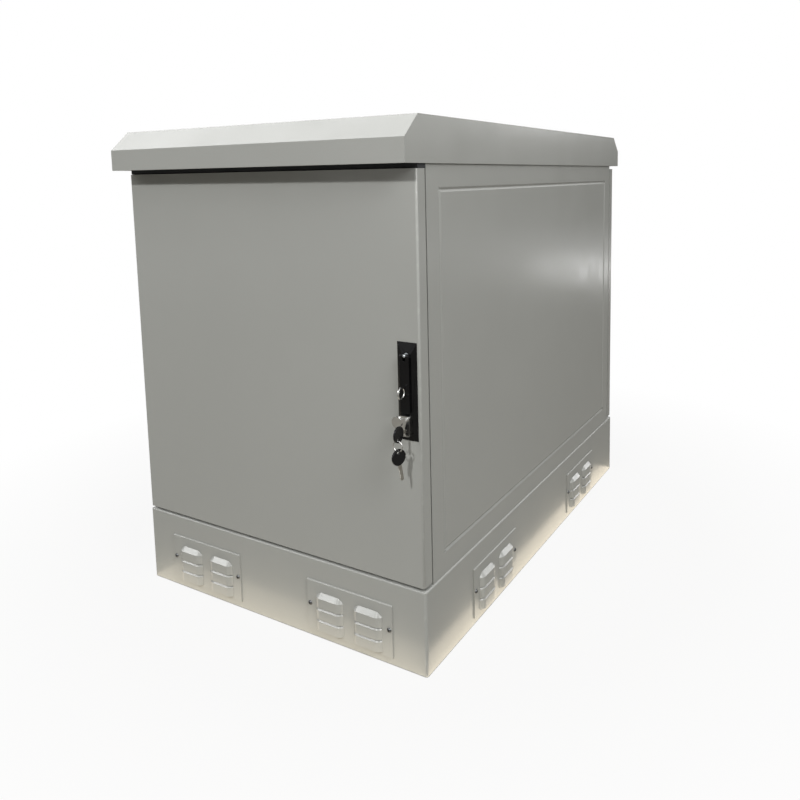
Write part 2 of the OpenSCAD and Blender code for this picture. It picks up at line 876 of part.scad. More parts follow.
// Foam strip on the door that closes on the frame's lip
module door_seal() {
    mid_w = opening_half_w + sheet / 2;
    half_s = seal_w / 2;
    color(rubber) difference() {
        slab(2 * (mid_w + half_s), -skin_in, -lip_y - seal_free,
            opening_low - sheet / 2 - half_s, opening_high + sheet / 2 + half_s);
        slab(2 * (mid_w - half_s), -skin_in - cut, -lip_y + cut,
            opening_low - sheet / 2 + half_s, opening_high + sheet / 2 - half_s);
    }
}

// Hat rail across the inside of the door
module door_stiffener(z) {
    len = 2 * opening_half_w - 4 * seal_w;
    color(paint) difference() {
        slab(len, -skin_in, -skin_in + stiffener_t, z - stiffener_w / 2, z + stiffener_w / 2);
        slab(len + 2 * cut, -skin_in - cut, -skin_in + stiffener_t - sheet,
            z - stiffener_w / 2 + sheet, z + stiffener_w / 2 - sheet);
    }
}

module door_stiffener_upper() { door_stiffener(door_high - (door_high - door_low) * 0.3); }
module door_stiffener_lower() { door_stiffener(door_low + (door_high - door_low) * 0.3); }

// Lock housing: block with bevelled sides and ends
module lock_housing() {
    half_x = lock_w / 2;
    half_z = lock_h / 2;
    color(black) difference() {
        translate([lock_x, 0, lock_z]) intersection() {
            linear_extrude(height = lock_h, center = true) polygon([
                [-half_x, -half_d], [lock_bevel_x - half_x, lock_face],
                [half_x - lock_bevel_x, lock_face], [half_x, -half_d]
            ]);
            sweep_x(lock_w) polygon([
                [-half_d, -half_z], [lock_face, lock_bevel_z - half_z],
                [lock_face, half_z - lock_bevel_z], [-half_d, half_z]
            ]);
        }
        bar_y(neck_r + spindle_free, lock_x, lock_face - cut, -half_d + cut, spindle_z);
        translate([lock_x, 0, 0])
            tile_y(cyl_w + 2 * cyl_free, cyl_h + 2 * cyl_free, cyl_corner + cyl_free, lock_face - cut,
                -half_d + cut, cyl_z);
    }
}

// Chromed lock cylinder with the bore of its plug and the rivet of the dust cover
module lock_cylinder() {
    color(chrome) {
        difference() {
            translate([lock_x, 0, 0]) tile_y(cyl_w, cyl_h, cyl_corner, cyl_front, -half_d, cyl_z);
            bar_y(plug_r + plug_fit, lock_x, cyl_front - cut, plug_back, plug_z);
        }
        bar_y(cover_rivet_r, cover_pivot_x, cyl_front - cover_front - cover_rivet_past,
            cyl_front + cut, cover_pivot_z);
    }
}

// Spindle through the door, with a neck in the housing and a tongue outside for the handle's pin
module lock_spindle() {
    tongue = handle_t - 2 * tongue_free;
    color(zinc) difference() {
        union() {
            bar_y(spindle_r, lock_x, shoulder_y, -(cam_front - cam_t), spindle_z);
            bar_y(neck_r, lock_x, lock_face, shoulder_y + cut, spindle_z);
            translate([lock_x, 0, 0])
                slab(tongue_w, handle_y, lock_face + cut, spindle_z - tongue / 2, spindle_z + tongue / 2);
            bar_x(tongue / 2, lock_x, tongue_w, handle_y, spindle_z);
        }
        bar_x(handle_pin_r + handle_fit, lock_x, 4 * tongue_w, handle_y, spindle_z);
    }
}

// Cam on the spindle's inner end: two pins drive the rods
module lock_cam() {
    color(zinc) difference() {
        union() {
            bar_y(spindle_r + cam_rim, lock_x, -cam_front, -(cam_front - cam_t), spindle_z);
            translate([lock_x, 0, 0])
                slab(2 * rod_throw, -cam_front, -(cam_front - cam_t),
                    spindle_z - cam_pin_r - cam_pin_rim, spindle_z + cam_pin_r + cam_pin_rim);
            for (side = [-1, 1])
                bar_y(cam_pin_r + cam_pin_rim, lock_x + side * rod_throw, -cam_front,
                    -(cam_front - cam_t), spindle_z);
            bar_y(cam_pin_r, lock_x - rod_throw, -cam_front, upper_rod_y + rod_t + cam_pin_past,
                spindle_z);
            bar_y(cam_pin_r, lock_x + rod_throw, -cam_front, lower_rod_y + rod_t + cam_pin_past,
                spindle_z);
        }
        bar_y(spindle_r, lock_x, -cam_front - cut, -(cam_front - cam_t) + cut, spindle_z);
    }
}

// Lever handle: fork round the spindle's tongue, flat grip below
module lock_handle() {
    fork_w = tongue_w + 2 * fork_free;
    color(black) translate([lock_x, 0, 0]) difference() {
        union() {
            slab(handle_w, handle_y - handle_t / 2, handle_y + handle_t / 2, handle_low, spindle_z);
            bar_x(handle_end, 0, handle_w, handle_y, spindle_z);
        }
        slab(fork_w, handle_y - handle_t, handle_y + handle_t, spindle_z - fork_depth,
            spindle_z + handle_t);
        bar_x(handle_pin_r, 0, handle_w + 2 * cut, handle_y, spindle_z);
    }
}

// Pin through the handle's fork
module handle_pin() {
    color(zinc) bar_x(handle_pin_r, lock_x, handle_w - 2 * handle_pin_inset, handle_y, spindle_z);
}

// Steel eye for a padlock, fixed on the handle
module padlock_eye() {
    face = handle_y - handle_t / 2;
    color(chrome) difference() {
        union() {
            bar_x(eye_r, lock_x, eye_t, eye_y, eye_z);
            translate([lock_x, 0, 0])
                slab(eye_t, face - (eye_r - eye_bore_r), face, eye_z - eye_foot_h / 2,
                    eye_z + eye_foot_h / 2);
        }
        bar_x(eye_bore_r, lock_x, eye_t + 2 * cut, eye_y, eye_z);
        translate([lock_x, 0, 0])
            slab(2 * eye_t, face, face + 3 * eye_r, eye_z - 2 * eye_r, eye_z + 2 * eye_r);
    }
}

// Flat foot of a rod with a window for its cam pin: side -1 for the upper rod, 1 for the lower
module rod_foot(side, y) {
    reach = rod_throw + cam_pin_r + rod_free;
    inner = cam_pin_r + rod_free;
    lag = side < 0 ? rod_lag : 0;
    drop = side < 0 ? 0 : rod_lag;
    low = spindle_z - inner - drop;
    high = spindle_z + inner + lag;
    x0 = side < 0 ? lock_x - reach : lock_x - inner;
    difference() {
        translate([x0 - foot_wall, y, low - foot_wall])
            cube([reach + inner + 2 * foot_wall, rod_t, high - low + 2 * foot_wall]);
        translate([x0, y - cut, low]) cube([reach + inner, rod_t + 2 * cut, high - low]);
    }
}

// Rod that locks into the keeper above the door
module upper_rod() {
    start = spindle_z + cam_pin_r + rod_free + rod_lag + foot_lap;
    color(zinc) {
        rod_foot(-1, upper_rod_y);
        translate([lock_x, 0, 0])
            slab(rod_w, upper_rod_y, upper_rod_y + rod_t, start, upper_rod_end);
    }
}

// Rod that locks into the keeper below the door
module lower_rod() {
    start = spindle_z - cam_pin_r - rod_free - rod_lag - foot_lap;
    color(zinc) {
        rod_foot(1, lower_rod_y);
        translate([lock_x, 0, 0])
            slab(rod_w, lower_rod_y, lower_rod_y + rod_t, lower_rod_end, start);
    }
}

// Guide block on the door's skin with a slot for a rod
module rod_guide(y, z) {
    color(black) translate([lock_x, 0, 0]) difference() {
        slab(guide_w, -skin_in, y + rod_t + guide_free + guide_wall, z - guide_h / 2, z + guide_h / 2);
        slab(rod_w + 2 * guide_free, y - guide_free, y + rod_t + guide_free,
            z - guide_h / 2 - cut, z + guide_h / 2 + cut);
    }
}

module rod_guide_upper() { rod_guide(upper_rod_y, upper_guide_z); }
module rod_guide_lower() { rod_guide(lower_rod_y, lower_guide_z); }

// Keeper on the side panel's folded edge: a tab stands in front of the thrown rod
module keeper(y, z0) {
    tab_back = y - keeper_tab_gap;
    color(zinc) {
        translate([keeper_web_x - rod_w, -frame_y - keeper_t, z0])
            cube([rod_w + keeper_t, keeper_t, keeper_h]);
        translate([keeper_web_x, tab_back - keeper_t, z0])
            cube([keeper_t, -frame_y - tab_back + keeper_t, keeper_h]);
        translate([keeper_web_x - rod_w, tab_back - keeper_t, z0])
            cube([rod_w + keeper_t, keeper_t, keeper_h]);
    }
}

module keeper_upper() { keeper(upper_rod_y, upper_rod_end + keeper_free); }
module keeper_lower() { keeper(lower_rod_y, lower_rod_end - keeper_free - keeper_h); }

// Turning plug of the lock, slotted for the key
module lock_plug() {
    color(chrome) difference() {
        bar_y(plug_r, lock_x, cyl_front, plug_back - plug_end_gap, plug_z);
        translate([lock_x, 0, 0])
            slab(blade_t + 2 * slot_free, cyl_front - cut, cyl_front + blade_len + slot_free,
                plug_z - blade_h / 2 - slot_free, plug_z + blade_h / 2 + slot_free);
    }
}

// Key in the lock: blade along Y, round bow in an upright plane
module door_key() {
    color(black) difference() {
        union() {
            bar_x(bow_r, lock_x, bow_t, bow_y, plug_z);
            translate([lock_x, 0, 0])
                slab(blade_t, bow_y, cyl_front + blade_len, plug_z - blade_h / 2,
                    plug_z + blade_h / 2);
        }
        bar_x(bow_hole_r, lock_x, 2 * bow_t, ring_y, bow_hole_z);
    }
}

// Dust cover swung aside on its rivet
module dust_cover() {
    front = cyl_front - cover_front;
    back = cyl_front - cover_back;
    color(chrome) translate([cover_pivot_x, 0, cover_pivot_z]) rotate([0, cover_open, 0]) difference() {
        union() {
            bar_y(cover_r, 0, front, back, -cover_arm);
            slab(cover_arm_w, front, back, -cover_arm, 0);
            bar_y(cover_boss_r, 0, front, back, 0);
        }
        bar_y(cover_rivet_r + cover_fit, 0, front - cut, back + cut, 0);
    }
}

// Split ring through both bows
module key_ring() {
    color(chrome) translate([lock_x, ring_y, ring_z]) rotate([90, 0, 0])
        rotate_extrude() translate([ring_r, 0]) circle(r = ring_wire_r);
}

// Spare key hanging from the ring
module spare_key() {
    bow_z = -bow_r + spare_hole_edge;
    color(black) translate([lock_x, ring_y, spare_hole_z]) rotate([spare_lean, 0, spare_turn]) difference() {
        union() {
            bar_x(bow_r, 0, bow_t, 0, bow_z);
            translate([-blade_t / 2, -blade_h / 2, bow_z - bow_r - spare_blade_len])
                cube([blade_t, blade_h, spare_blade_len + bow_r]);
        }
        bar_x(bow_hole_r, 0, 2 * bow_t, 0, 0);
    }
}

plinth();
floor_plate();
cable_trim();
side_panel_left();
side_panel_right();
front_frame();
weather_strip();
rear_frame();
rear_cover();
rear_cover_spacers();
rear_cover_screws();
top_plate();
roof_support_front();
roof_support_rear();
roof_cap();
roof_bolts();
vent_front_left();
vent_front_right();
vent_rear_left();
vent_rear_right();
vent_left_front();
vent_left_rear();
vent_right_front();
vent_right_rear();
vent_screws();
rail_front_left();
rail_front_right();
rail_rear_left();
rail_rear_right();
rail_bolts();
earth_bar();
earth_posts();
hinge_bracket_upper();
hinge_bracket_lower();
hinge_pin_upper();
hinge_pin_lower();
keeper_upper();
keeper_lower();
door_panel();
door_seal();
door_stiffener_upper();
door_stiffener_lower();
hinge_leaf_upper();
hinge_leaf_lower();
lock_housing();
lock_cylinder();
rod_guide_upper();
rod_guide_lower();
lock_spindle();
lock_cam();
lock_handle();
handle_pin();
padlock_eye();
upper_rod();
lower_rod();
lock_plug();
door_key();
dust_cover();
key_ring();
spare_key();
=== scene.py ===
"""Roadside utility cabinet: finishes, fine pieces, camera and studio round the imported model."""

import bmesh
import bpy
import numpy as np
from mathutils import Matrix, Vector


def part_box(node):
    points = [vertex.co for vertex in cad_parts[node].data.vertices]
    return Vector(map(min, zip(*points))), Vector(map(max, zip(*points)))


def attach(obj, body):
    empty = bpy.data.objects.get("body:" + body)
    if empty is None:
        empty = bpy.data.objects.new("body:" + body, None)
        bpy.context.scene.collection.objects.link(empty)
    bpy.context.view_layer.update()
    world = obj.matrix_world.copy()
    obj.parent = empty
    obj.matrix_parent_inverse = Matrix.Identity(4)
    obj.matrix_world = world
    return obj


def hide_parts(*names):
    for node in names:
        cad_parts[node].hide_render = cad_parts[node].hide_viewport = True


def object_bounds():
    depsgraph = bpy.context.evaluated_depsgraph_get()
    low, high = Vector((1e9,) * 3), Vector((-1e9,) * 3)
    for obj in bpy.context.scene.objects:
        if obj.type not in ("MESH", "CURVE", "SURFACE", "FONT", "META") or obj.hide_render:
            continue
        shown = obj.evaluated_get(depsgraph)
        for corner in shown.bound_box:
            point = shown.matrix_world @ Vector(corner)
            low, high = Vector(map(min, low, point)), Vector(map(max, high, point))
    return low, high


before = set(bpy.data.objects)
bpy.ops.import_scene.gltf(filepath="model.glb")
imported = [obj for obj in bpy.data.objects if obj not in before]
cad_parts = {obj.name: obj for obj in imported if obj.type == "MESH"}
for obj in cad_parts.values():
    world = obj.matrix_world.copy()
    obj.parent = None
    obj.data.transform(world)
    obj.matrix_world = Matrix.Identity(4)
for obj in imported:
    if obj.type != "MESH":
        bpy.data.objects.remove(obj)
CAD_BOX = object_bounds()

bl_info = {
    "name": "Roadside utility cabinet",
    "version": (1, 0, 0),
    "blender": (4, 5, 0),
    "location": "View3D > Sidebar > Cabinet",
    "description": "Finishes, fine pieces, camera and studio of a roadside utility cabinet",
    "category": "Object",
}

MM = 0.001

# Half the body's width and depth, at the corners where the paint is rubbed
BODY_HALF_W = 0.3
BODY_HALF_D = 0.45

# Both keys: ring hole's radius, bow's half thickness, blade's half height and half thickness, and how
# far the blade starts inside the bow
KEY_HOLE_R = 2.5 * MM
BOW_HALF_T = 1.6 * MM
BLADE_HALF_H = 2.75 * MM
BLADE_HALF_T = 1 * MM
BLADE_ROOT = 1.5 * MM

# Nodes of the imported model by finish
PAINTED_SHEETS = (
    "side_panel_left", "side_panel_right", "rear_cover", "door_panel", "plinth", "roof_cap",
)
PAINTED_PLATES = (
    "vent_front_left", "vent_front_right", "vent_rear_left", "vent_rear_right",
    "vent_left_front", "vent_left_rear", "vent_right_front", "vent_right_rear",
)
PAINTED_INSIDE = (
    "floor_plate", "front_frame", "rear_frame", "top_plate",
    "door_stiffener_upper", "door_stiffener_lower",
)
ZINC_FITTINGS = (
    "rear_cover_spacers", "roof_support_front", "roof_support_rear", "rail_front_left",
    "rail_front_right", "rail_rear_left", "rail_rear_right", "rail_bolts",
    "hinge_bracket_upper", "hinge_bracket_lower", "hinge_pin_upper", "hinge_pin_lower",
    "hinge_leaf_upper", "hinge_leaf_lower", "keeper_upper", "keeper_lower",
    "lock_spindle", "lock_cam", "handle_pin", "upper_rod", "lower_rod",
)
BLACK_LOCK_NODES = ("lock_housing", "lock_handle")
CHROME_NODES = ("lock_cylinder", "lock_plug", "padlock_eye", "dust_cover")
PLASTIC_NODES = ("rod_guide_upper", "rod_guide_lower", "earth_posts")


def corners(node):
    """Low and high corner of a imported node's box."""
    low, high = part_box(node)
    return np.array(low), np.array(high)


def srgb(red, green, blue):
    """Linear colour of an 8-bit screen colour."""
    c = np.array((red, green, blue)) / 255
    linear = np.where(c <= 0.04045, c / 12.92, ((c + 0.055) / 1.055) ** 2.4)
    return tuple(float(v) for v in linear)


class CabinetFinish(bpy.types.PropertyGroup):
    """Colours and gloss of the cabinet's finishes."""

    paint: bpy.props.FloatVectorProperty(
        name="Paint", description="Colour of the grey powder coat",
        subtype="COLOR", size=3, min=0, max=1, default=srgb(158, 159, 155))
    paint_roughness: bpy.props.FloatProperty(
        name="Paint roughness", description="Roughness of the powder coat",
        subtype="FACTOR", min=0.05, max=1, default=0.22)
    paint_grain: bpy.props.FloatProperty(
        name="Paint grain", description="Depth of the powder coat's orange peel",
        unit="LENGTH", min=0, max=0.001, default=0.00006)
    sheet_wave: bpy.props.FloatProperty(
        name="Sheet wave", description="Depth of the slow waves in the flat sheets",
        unit="LENGTH", min=0, max=0.005, default=0.0009)
    zinc: bpy.props.FloatVectorProperty(
        name="Zinc", description="Colour of the zinc-plated fittings",
        subtype="COLOR", size=3, min=0, max=1, default=srgb(186, 190, 193))
    # Painted shade: the screws' steel gets a dark colour that stands in for the dark surroundings they
    # mirror.
    screw_steel: bpy.props.FloatVectorProperty(
        name="Screw steel", description="Colour of the blackened plate screws",
        subtype="COLOR", size=3, min=0, max=1, default=srgb(92, 93, 94))
    lock_black: bpy.props.FloatVectorProperty(
        name="Lock black", description="Colour of the lacquered lock housing and handle",
        subtype="COLOR", size=3, min=0, max=1, default=srgb(12, 12, 13))
    plastic_black: bpy.props.FloatVectorProperty(
        name="Plastic black", description="Colour of the moulded key bows and guides",
        subtype="COLOR", size=3, min=0, max=1, default=srgb(16, 16, 17))
    chrome: bpy.props.FloatVectorProperty(
        name="Chrome", description="Colour of the chromed lock parts",
        subtype="COLOR", size=3, min=0, max=1, default=srgb(206, 206, 204))
    key_steel: bpy.props.FloatVectorProperty(
        name="Key steel", description="Colour of the key blades",
        subtype="COLOR", size=3, min=0, max=1, default=srgb(172, 170, 163))
    rubber: bpy.props.FloatVectorProperty(
        name="Rubber", description="Colour of the door seal and the cable edge",
        subtype="COLOR", size=3, min=0, max=1, default=srgb(38, 39, 41))
    copper: bpy.props.FloatVectorProperty(
        name="Copper", description="Colour of the earth bar",
        subtype="COLOR", size=3, min=0, max=1, default=srgb(201, 132, 92))


class CabinetDetail(bpy.types.PropertyGroup):
    """Sizes of the fine pieces and of the rounded edges."""

    sheet_edge: bpy.props.FloatProperty(
        name="Sheet edge", description="Radius of the folded and cut sheet edges",
        unit="LENGTH", min=0, max=0.003, default=0.6 * MM)
    fitting_edge: bpy.props.FloatProperty(
        name="Fitting edge", description="Radius of the edges of small fittings",
        unit="LENGTH", min=0, max=0.002, default=0.3 * MM)
    lock_edge: bpy.props.FloatProperty(
        name="Lock edge", description="Radius of the edges of the lock housing and handle",
        unit="LENGTH", min=0, max=0.003, default=0.7 * MM)
    plate_thickness: bpy.props.FloatProperty(
        name="Louvre plate thickness", description="Thickness of a louvre plate",
        unit="LENGTH", min=0.0005, max=0.004, default=2.2 * MM)
    plate_screw_edge: bpy.props.FloatProperty(
        name="Louvre screw edge", description="Distance of a screw from the louvre plate's end",
        unit="LENGTH", min=0.003, max=0.02, default=5.5 * MM)
    spare_turn: bpy.props.FloatProperty(
        name="Spare key turn", description="Turn of the hanging key about the upright",
        subtype="ANGLE", default=np.radians(-18))
    spare_lean: bpy.props.FloatProperty(
        name="Spare key lean", description="Lean of the hanging key in its own plane",
        subtype="ANGLE", default=np.radians(8.5))
    spare_blade: bpy.props.FloatProperty(
        name="Spare key blade", description="Length of the hanging key's blade below its bow",
        unit="LENGTH", min=0.01, max=0.04, default=23.5 * MM)
    ring_wire: bpy.props.FloatProperty(
        name="Ring wire", description="Half the thickness of the split ring's two turns",
        unit="LENGTH", min=0.0003, max=0.001, default=0.8 * MM)
    strip_gap: bpy.props.FloatProperty(
        name="Strip gap", description="Gap between the door's top and the rubber strip above it",
        unit="LENGTH", min=0, max=0.0012, default=0.15 * MM)
    seal_corner: bpy.props.FloatProperty(
        name="Seal corner", description="Radius of the door seal's corners",
        unit="LENGTH", min=0.005, max=0.04, default=9 * MM)


class CabinetStudio(bpy.types.PropertyGroup):
    """Camera, lamps and floor."""

    camera_place: bpy.props.FloatVectorProperty(
        name="Camera place", description="Where the camera stands",
        subtype="TRANSLATION", unit="LENGTH", size=3, default=(0.836957, -1.308524, 0.743143))
    camera_yaw: bpy.props.FloatProperty(
        name="Camera yaw", description="Turn of the camera round the cabinet",
        subtype="ANGLE", default=0.522663)
    camera_pitch: bpy.props.FloatProperty(
        name="Camera pitch", description="Downward tilt of the camera",
        subtype="ANGLE", default=0.118912)
    camera_roll: bpy.props.FloatProperty(
        name="Camera roll", description="Turn of the camera about its own axis",
        subtype="ANGLE", default=-0.016144)
    focal_length: bpy.props.FloatProperty(
        name="Focal length", description="Focal length in millimetres on a 36 mm sensor",
        min=10, max=200, default=32.89)
    shift_x: bpy.props.FloatProperty(
        name="Shift across", description="Sideways shift of the picture, as a share of its width",
        default=-0.0555)
    shift_y: bpy.props.FloatProperty(
        name="Shift up", description="Upward shift of the picture, as a share of its width",
        default=-0.1695)
    key_power: bpy.props.FloatProperty(
        name="Key lamp", description="Power of the small lamp in front in watts",
        min=0, default=138)
    fill_power: bpy.props.FloatProperty(
        name="Fill lamp", description="Power of the soft lamp on the right in watts",
        min=0, default=76)
    ceiling_power: bpy.props.FloatProperty(
        name="Ceiling lamp", description="Power of the soft lamp above the right side in watts",
        min=0, default=40)
    roof_power: bpy.props.FloatProperty(
        name="Roof lamp", description="Power of the lamp that the roof's front edge mirrors in watts",
        min=0, default=10.8)
    front_power: bpy.props.FloatProperty(
        name="Front left lamp", description="Power of the lamp that the front louvres mirror in watts",
        min=0, default=31)
    rear_power: bpy.props.FloatProperty(
        name="Rear right lamp", description="Power of the lamp that the side louvres mirror in watts",
        min=0, default=30)
    glint_power: bpy.props.FloatProperty(
        name="Glint lamp", description="Power of the low lamp that the right side mirrors in watts",
        min=0, default=0.6)
    front_strip_power: bpy.props.FloatProperty(
        name="Front floor strip", description="Power of the warm strip lamp at the front's foot in watts",
        min=0, default=0.17)
    side_strip_power: bpy.props.FloatProperty(
        name="Side floor strip", description="Power of the warm strip lamp at the side's foot in watts",
        min=0, default=0.19)
    ambient: bpy.props.FloatProperty(
        name="Ambient light", description="Strength of the even light from all round",
        min=0, max=2, default=0.04)
    floor_colour: bpy.props.FloatVectorProperty(
        name="Floor", description="Colour of the floor",
        subtype="COLOR", size=3, min=0, max=1, default=srgb(150, 147, 140))


def add_node(tree, kind, inputs=None, **settings):
    """New shader node: settings are its own, inputs are values or sockets to link."""
    node = tree.nodes.new(kind)
    for name, value in settings.items():
        setattr(node, name, value)
    for socket, value in (inputs or {}).items():
        if isinstance(value, bpy.types.NodeSocket):
            tree.links.new(value, node.inputs[socket])
        else:
            node.inputs[socket].default_value = value
    return node


def new_material(name):
    """Material with its node tree, its shader and the object's own coordinates."""
    material = bpy.data.materials.new(name)
    material.use_nodes = True
    tree = material.node_tree
    place = add_node(tree, "ShaderNodeTexCoord").outputs["Object"]
    return material, tree, tree.nodes["Principled BSDF"], place


def noise(tree, place, scale, detail=2.0):
    """Even noise from 0 to 1 with about scale waves a metre."""
    node = add_node(tree, "ShaderNodeTexNoise", {"Vector": place, "Scale": scale, "Detail": detail})
    return node.outputs[0]


def lines(tree, place, scale):
    """Noise with its own number of waves a metre along each axis, for scratches and drawn lines."""
    stretch = add_node(tree, "ShaderNodeMapping", {"Vector": place, "Scale": scale}).outputs[0]
    return noise(tree, stretch, 1.0)


def spread(tree, value, low, high, start=0.3, end=0.7):
    """Value between start and end mapped to low and high, and held there beyond."""
    inputs = {"Value": value, "From Min": start, "From Max": end, "To Min": low, "To Max": high}
    return add_node(tree, "ShaderNodeMapRange", inputs).outputs[0]


def calc(tree, operation, first, second=0.0):
    """One sum on two values."""
    return add_node(tree, "ShaderNodeMath", {0: first, 1: second}, operation=operation).outputs[0]


def tint(tree, value, *colours):
    """Colour that runs through the given colours as value goes from 0 to 1."""
    ramp = add_node(tree, "ShaderNodeValToRGB", {"Fac": value})
    stops = ramp.color_ramp.elements
    while len(stops) < len(colours):
        stops.new(0.5)
    for i, colour in enumerate(colours):
        stops[i].position = i / (len(colours) - 1)
        stops[i].color = (*colour, 1)
    return ramp.outputs["Color"]


def shade(colour, factor):
    """Colour made lighter or darker."""
    return tuple(min(1.0, c * factor) for c in colour)


def bump(tree, shader, height, distance, strength=1.0):
    """Relief of the given depth on the shader's normal, over any relief it already has."""
    inputs = {"Height": height, "Distance": distance, "Strength": strength}
    link = shader.inputs["Normal"].links
    if link:
        inputs["Normal"] = link[0].from_socket
    node = add_node(tree, "ShaderNodeBump", inputs)
    tree.links.new(node.outputs[0], shader.inputs["Normal"])


def paint_finish(finish):
    """Grey powder coat: slow drift of shade, powder speckle, rubbed corners, orange peel, sheet waves."""
    material, tree, shader, place = new_material("grey_paint")
    paint = tuple(finish.paint)
    drift = noise(tree, place, 2.4, 3)
    speckle = noise(tree, place, 900, 1)
    mix = calc(tree, "ADD", spread(tree, drift, 0.25, 0.75), spread(tree, speckle, -0.15, 0.15))
    coat = tint(tree, mix, shade(paint, 0.965), paint, shade(paint, 1.035))
    axes = add_node(tree, "ShaderNodeSeparateXYZ", {"Vector": place}).outputs
    rub = 4 * MM
    across = spread(tree, calc(tree, "ABSOLUTE", axes["X"]), 0, 1, BODY_HALF_W - rub, BODY_HALF_W)
    deep = spread(tree, calc(tree, "ABSOLUTE", axes["Y"]), 0, 1, BODY_HALF_D - rub, BODY_HALF_D)
    roof_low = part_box("roof_cap")[0][2]
    below_roof = spread(tree, axes["Z"], 1, 0, roof_low - 2 * MM, roof_low)
    corner = calc(tree, "MULTIPLY", calc(tree, "MULTIPLY", across, deep), below_roof)
    foot = spread(tree, axes["Z"], 1, 0, 0, 6 * MM)
    edge = calc(tree, "MAXIMUM", corner, foot)
    rubbed = calc(tree, "MULTIPLY", edge, spread(tree, noise(tree, place, 60, 4), 0, 0.35, 0.5, 0.65))
    worn = add_node(tree, "ShaderNodeMix", data_type="RGBA")
    tree.links.new(rubbed, worn.inputs[0])
    tree.links.new(coat, worn.inputs[6])
    worn.inputs[7].default_value = (*shade(paint, 1.4), 1)
    tree.links.new(worn.outputs[2], shader.inputs["Base Color"])
    gloss = finish.paint_roughness
    rough = spread(tree, noise(tree, place, 14, 4), gloss - 0.03, gloss + 0.05)
    tree.links.new(rough, shader.inputs["Roughness"])
    bump(tree, shader, noise(tree, place, 3.1, 1), finish.sheet_wave)
    bump(tree, shader, noise(tree, place, 420, 2), finish.paint_grain)
    return material


def zinc_finish(finish):
    """Zinc plate: grey crystal cells with their own gloss, a few dull spots, fine scratches."""
    material, tree, shader, place = new_material("zinc")
    zinc = tuple(finish.zinc)
    cells = add_node(tree, "ShaderNodeTexVoronoi", {"Vector": place, "Scale": 140}, feature="F1")
    flake = add_node(tree, "ShaderNodeSeparateColor", {"Color": cells.outputs["Color"]}).outputs[0]
    dull = spread(tree, noise(tree, place, 30, 4), 0, 0.3, 0.55, 0.75)
    tone = calc(tree, "SUBTRACT", spread(tree, flake, 0.45, 1, 0, 1), dull)
    colour = tint(tree, tone, shade(zinc, 0.55), shade(zinc, 0.85), zinc)
    tree.links.new(colour, shader.inputs["Base Color"])
    rough = calc(tree, "ADD", spread(tree, flake, 0.3, 0.42, 0, 1), dull)
    tree.links.new(rough, shader.inputs["Roughness"])
    shader.inputs["Metallic"].default_value = 1
    bump(tree, shader, noise(tree, place, 700, 3), 0.00003)
    return material


def screw_painted_shade_finish(finish):
    """Dark screw metal whose darkness is painted shade: the dark colour stands in for the dark surroundings
    the screws mirror; brighter where the driver and the washer rubbed it.
    """
    material, tree, shader, place = new_material("screw_steel")
    dark = tuple(finish.screw_steel)
    rub = noise(tree, place, 350, 4)
    # painted shade: dark base colour in place of the dark surroundings the screws mirror
    tree.links.new(tint(tree, rub, shade(dark, 0.6), dark, shade(dark, 1.8)), shader.inputs["Base Color"])
    tree.links.new(spread(tree, rub, 0.34, 0.22), shader.inputs["Roughness"])
    shader.inputs["Metallic"].default_value = 1
    bump(tree, shader, noise(tree, place, 900, 2), 0.00002)
    return material


def lacquer_finish(finish):
    """Gloss black lacquer on a die casting: faint cloud, fine peel, dust specks."""
    material, tree, shader, place = new_material("black_lock")
    black = tuple(finish.lock_black)
    cloud = noise(tree, place, 45, 3)
    colour = tint(tree, cloud, shade(black, 0.7), black, shade(black, 1.5))
    tree.links.new(colour, shader.inputs["Base Color"])
    dust = spread(tree, noise(tree, place, 800, 3), 0, 0.08, 0.6, 0.8)
    rough = calc(tree, "ADD", spread(tree, cloud, 0.12, 0.18), dust)
    tree.links.new(rough, shader.inputs["Roughness"])
    shader.inputs["Specular IOR Level"].default_value = 0.2
    bump(tree, shader, noise(tree, place, 500, 2), 0.00003)
    return material


def plastic_finish(finish):
    """Moulded black plastic: fine matt grain and a slow change of gloss."""
    material, tree, shader, place = new_material("black_plastic")
    black = tuple(finish.plastic_black)
    grain = noise(tree, place, 1500, 2)
    tree.links.new(tint(tree, grain, shade(black, 0.8), shade(black, 1.25)), shader.inputs["Base Color"])
    tree.links.new(spread(tree, noise(tree, place, 120, 2), 0.14, 0.22), shader.inputs["Roughness"])
    shader.inputs["Specular IOR Level"].default_value = 0.22
    bump(tree, shader, grain, 0.00002)
    return material


def chrome_finish(finish):
    """Polished chrome: faint cloud, handling smears and hairline scratches."""
    material, tree, shader, place = new_material("chrome")
    chrome = tuple(finish.chrome)
    cloud = noise(tree, place, 90, 3)
    tree.links.new(tint(tree, cloud, shade(chrome, 0.86), chrome), shader.inputs["Base Color"])
    hairs = lines(tree, place, (40, 40, 900))
    rough = calc(tree, "ADD", spread(tree, cloud, 0.1, 0.2), spread(tree, hairs, 0, 0.08, 0.55, 0.8))
    tree.links.new(rough, shader.inputs["Roughness"])
    shader.inputs["Metallic"].default_value = 1
    bump(tree, shader, hairs, 0.00001)
    return material


def key_steel_finish(finish):
    """Milled key steel: lines along the blade and a light tarnish."""
    material, tree, shader, place = new_material("key_steel")
    steel = tuple(finish.key_steel)
    milled = lines(tree, place, (900, 900, 60))
    tarnish = noise(tree, place, 200, 3)
    tree.links.new(tint(tree, tarnish, shade(steel, 0.75), steel), shader.inputs["Base Color"])
    tree.links.new(spread(tree, milled, 0.25, 0.42), shader.inputs["Roughness"])
    shader.inputs["Metallic"].default_value = 1
    bump(tree, shader, milled, 0.00002)
    return material


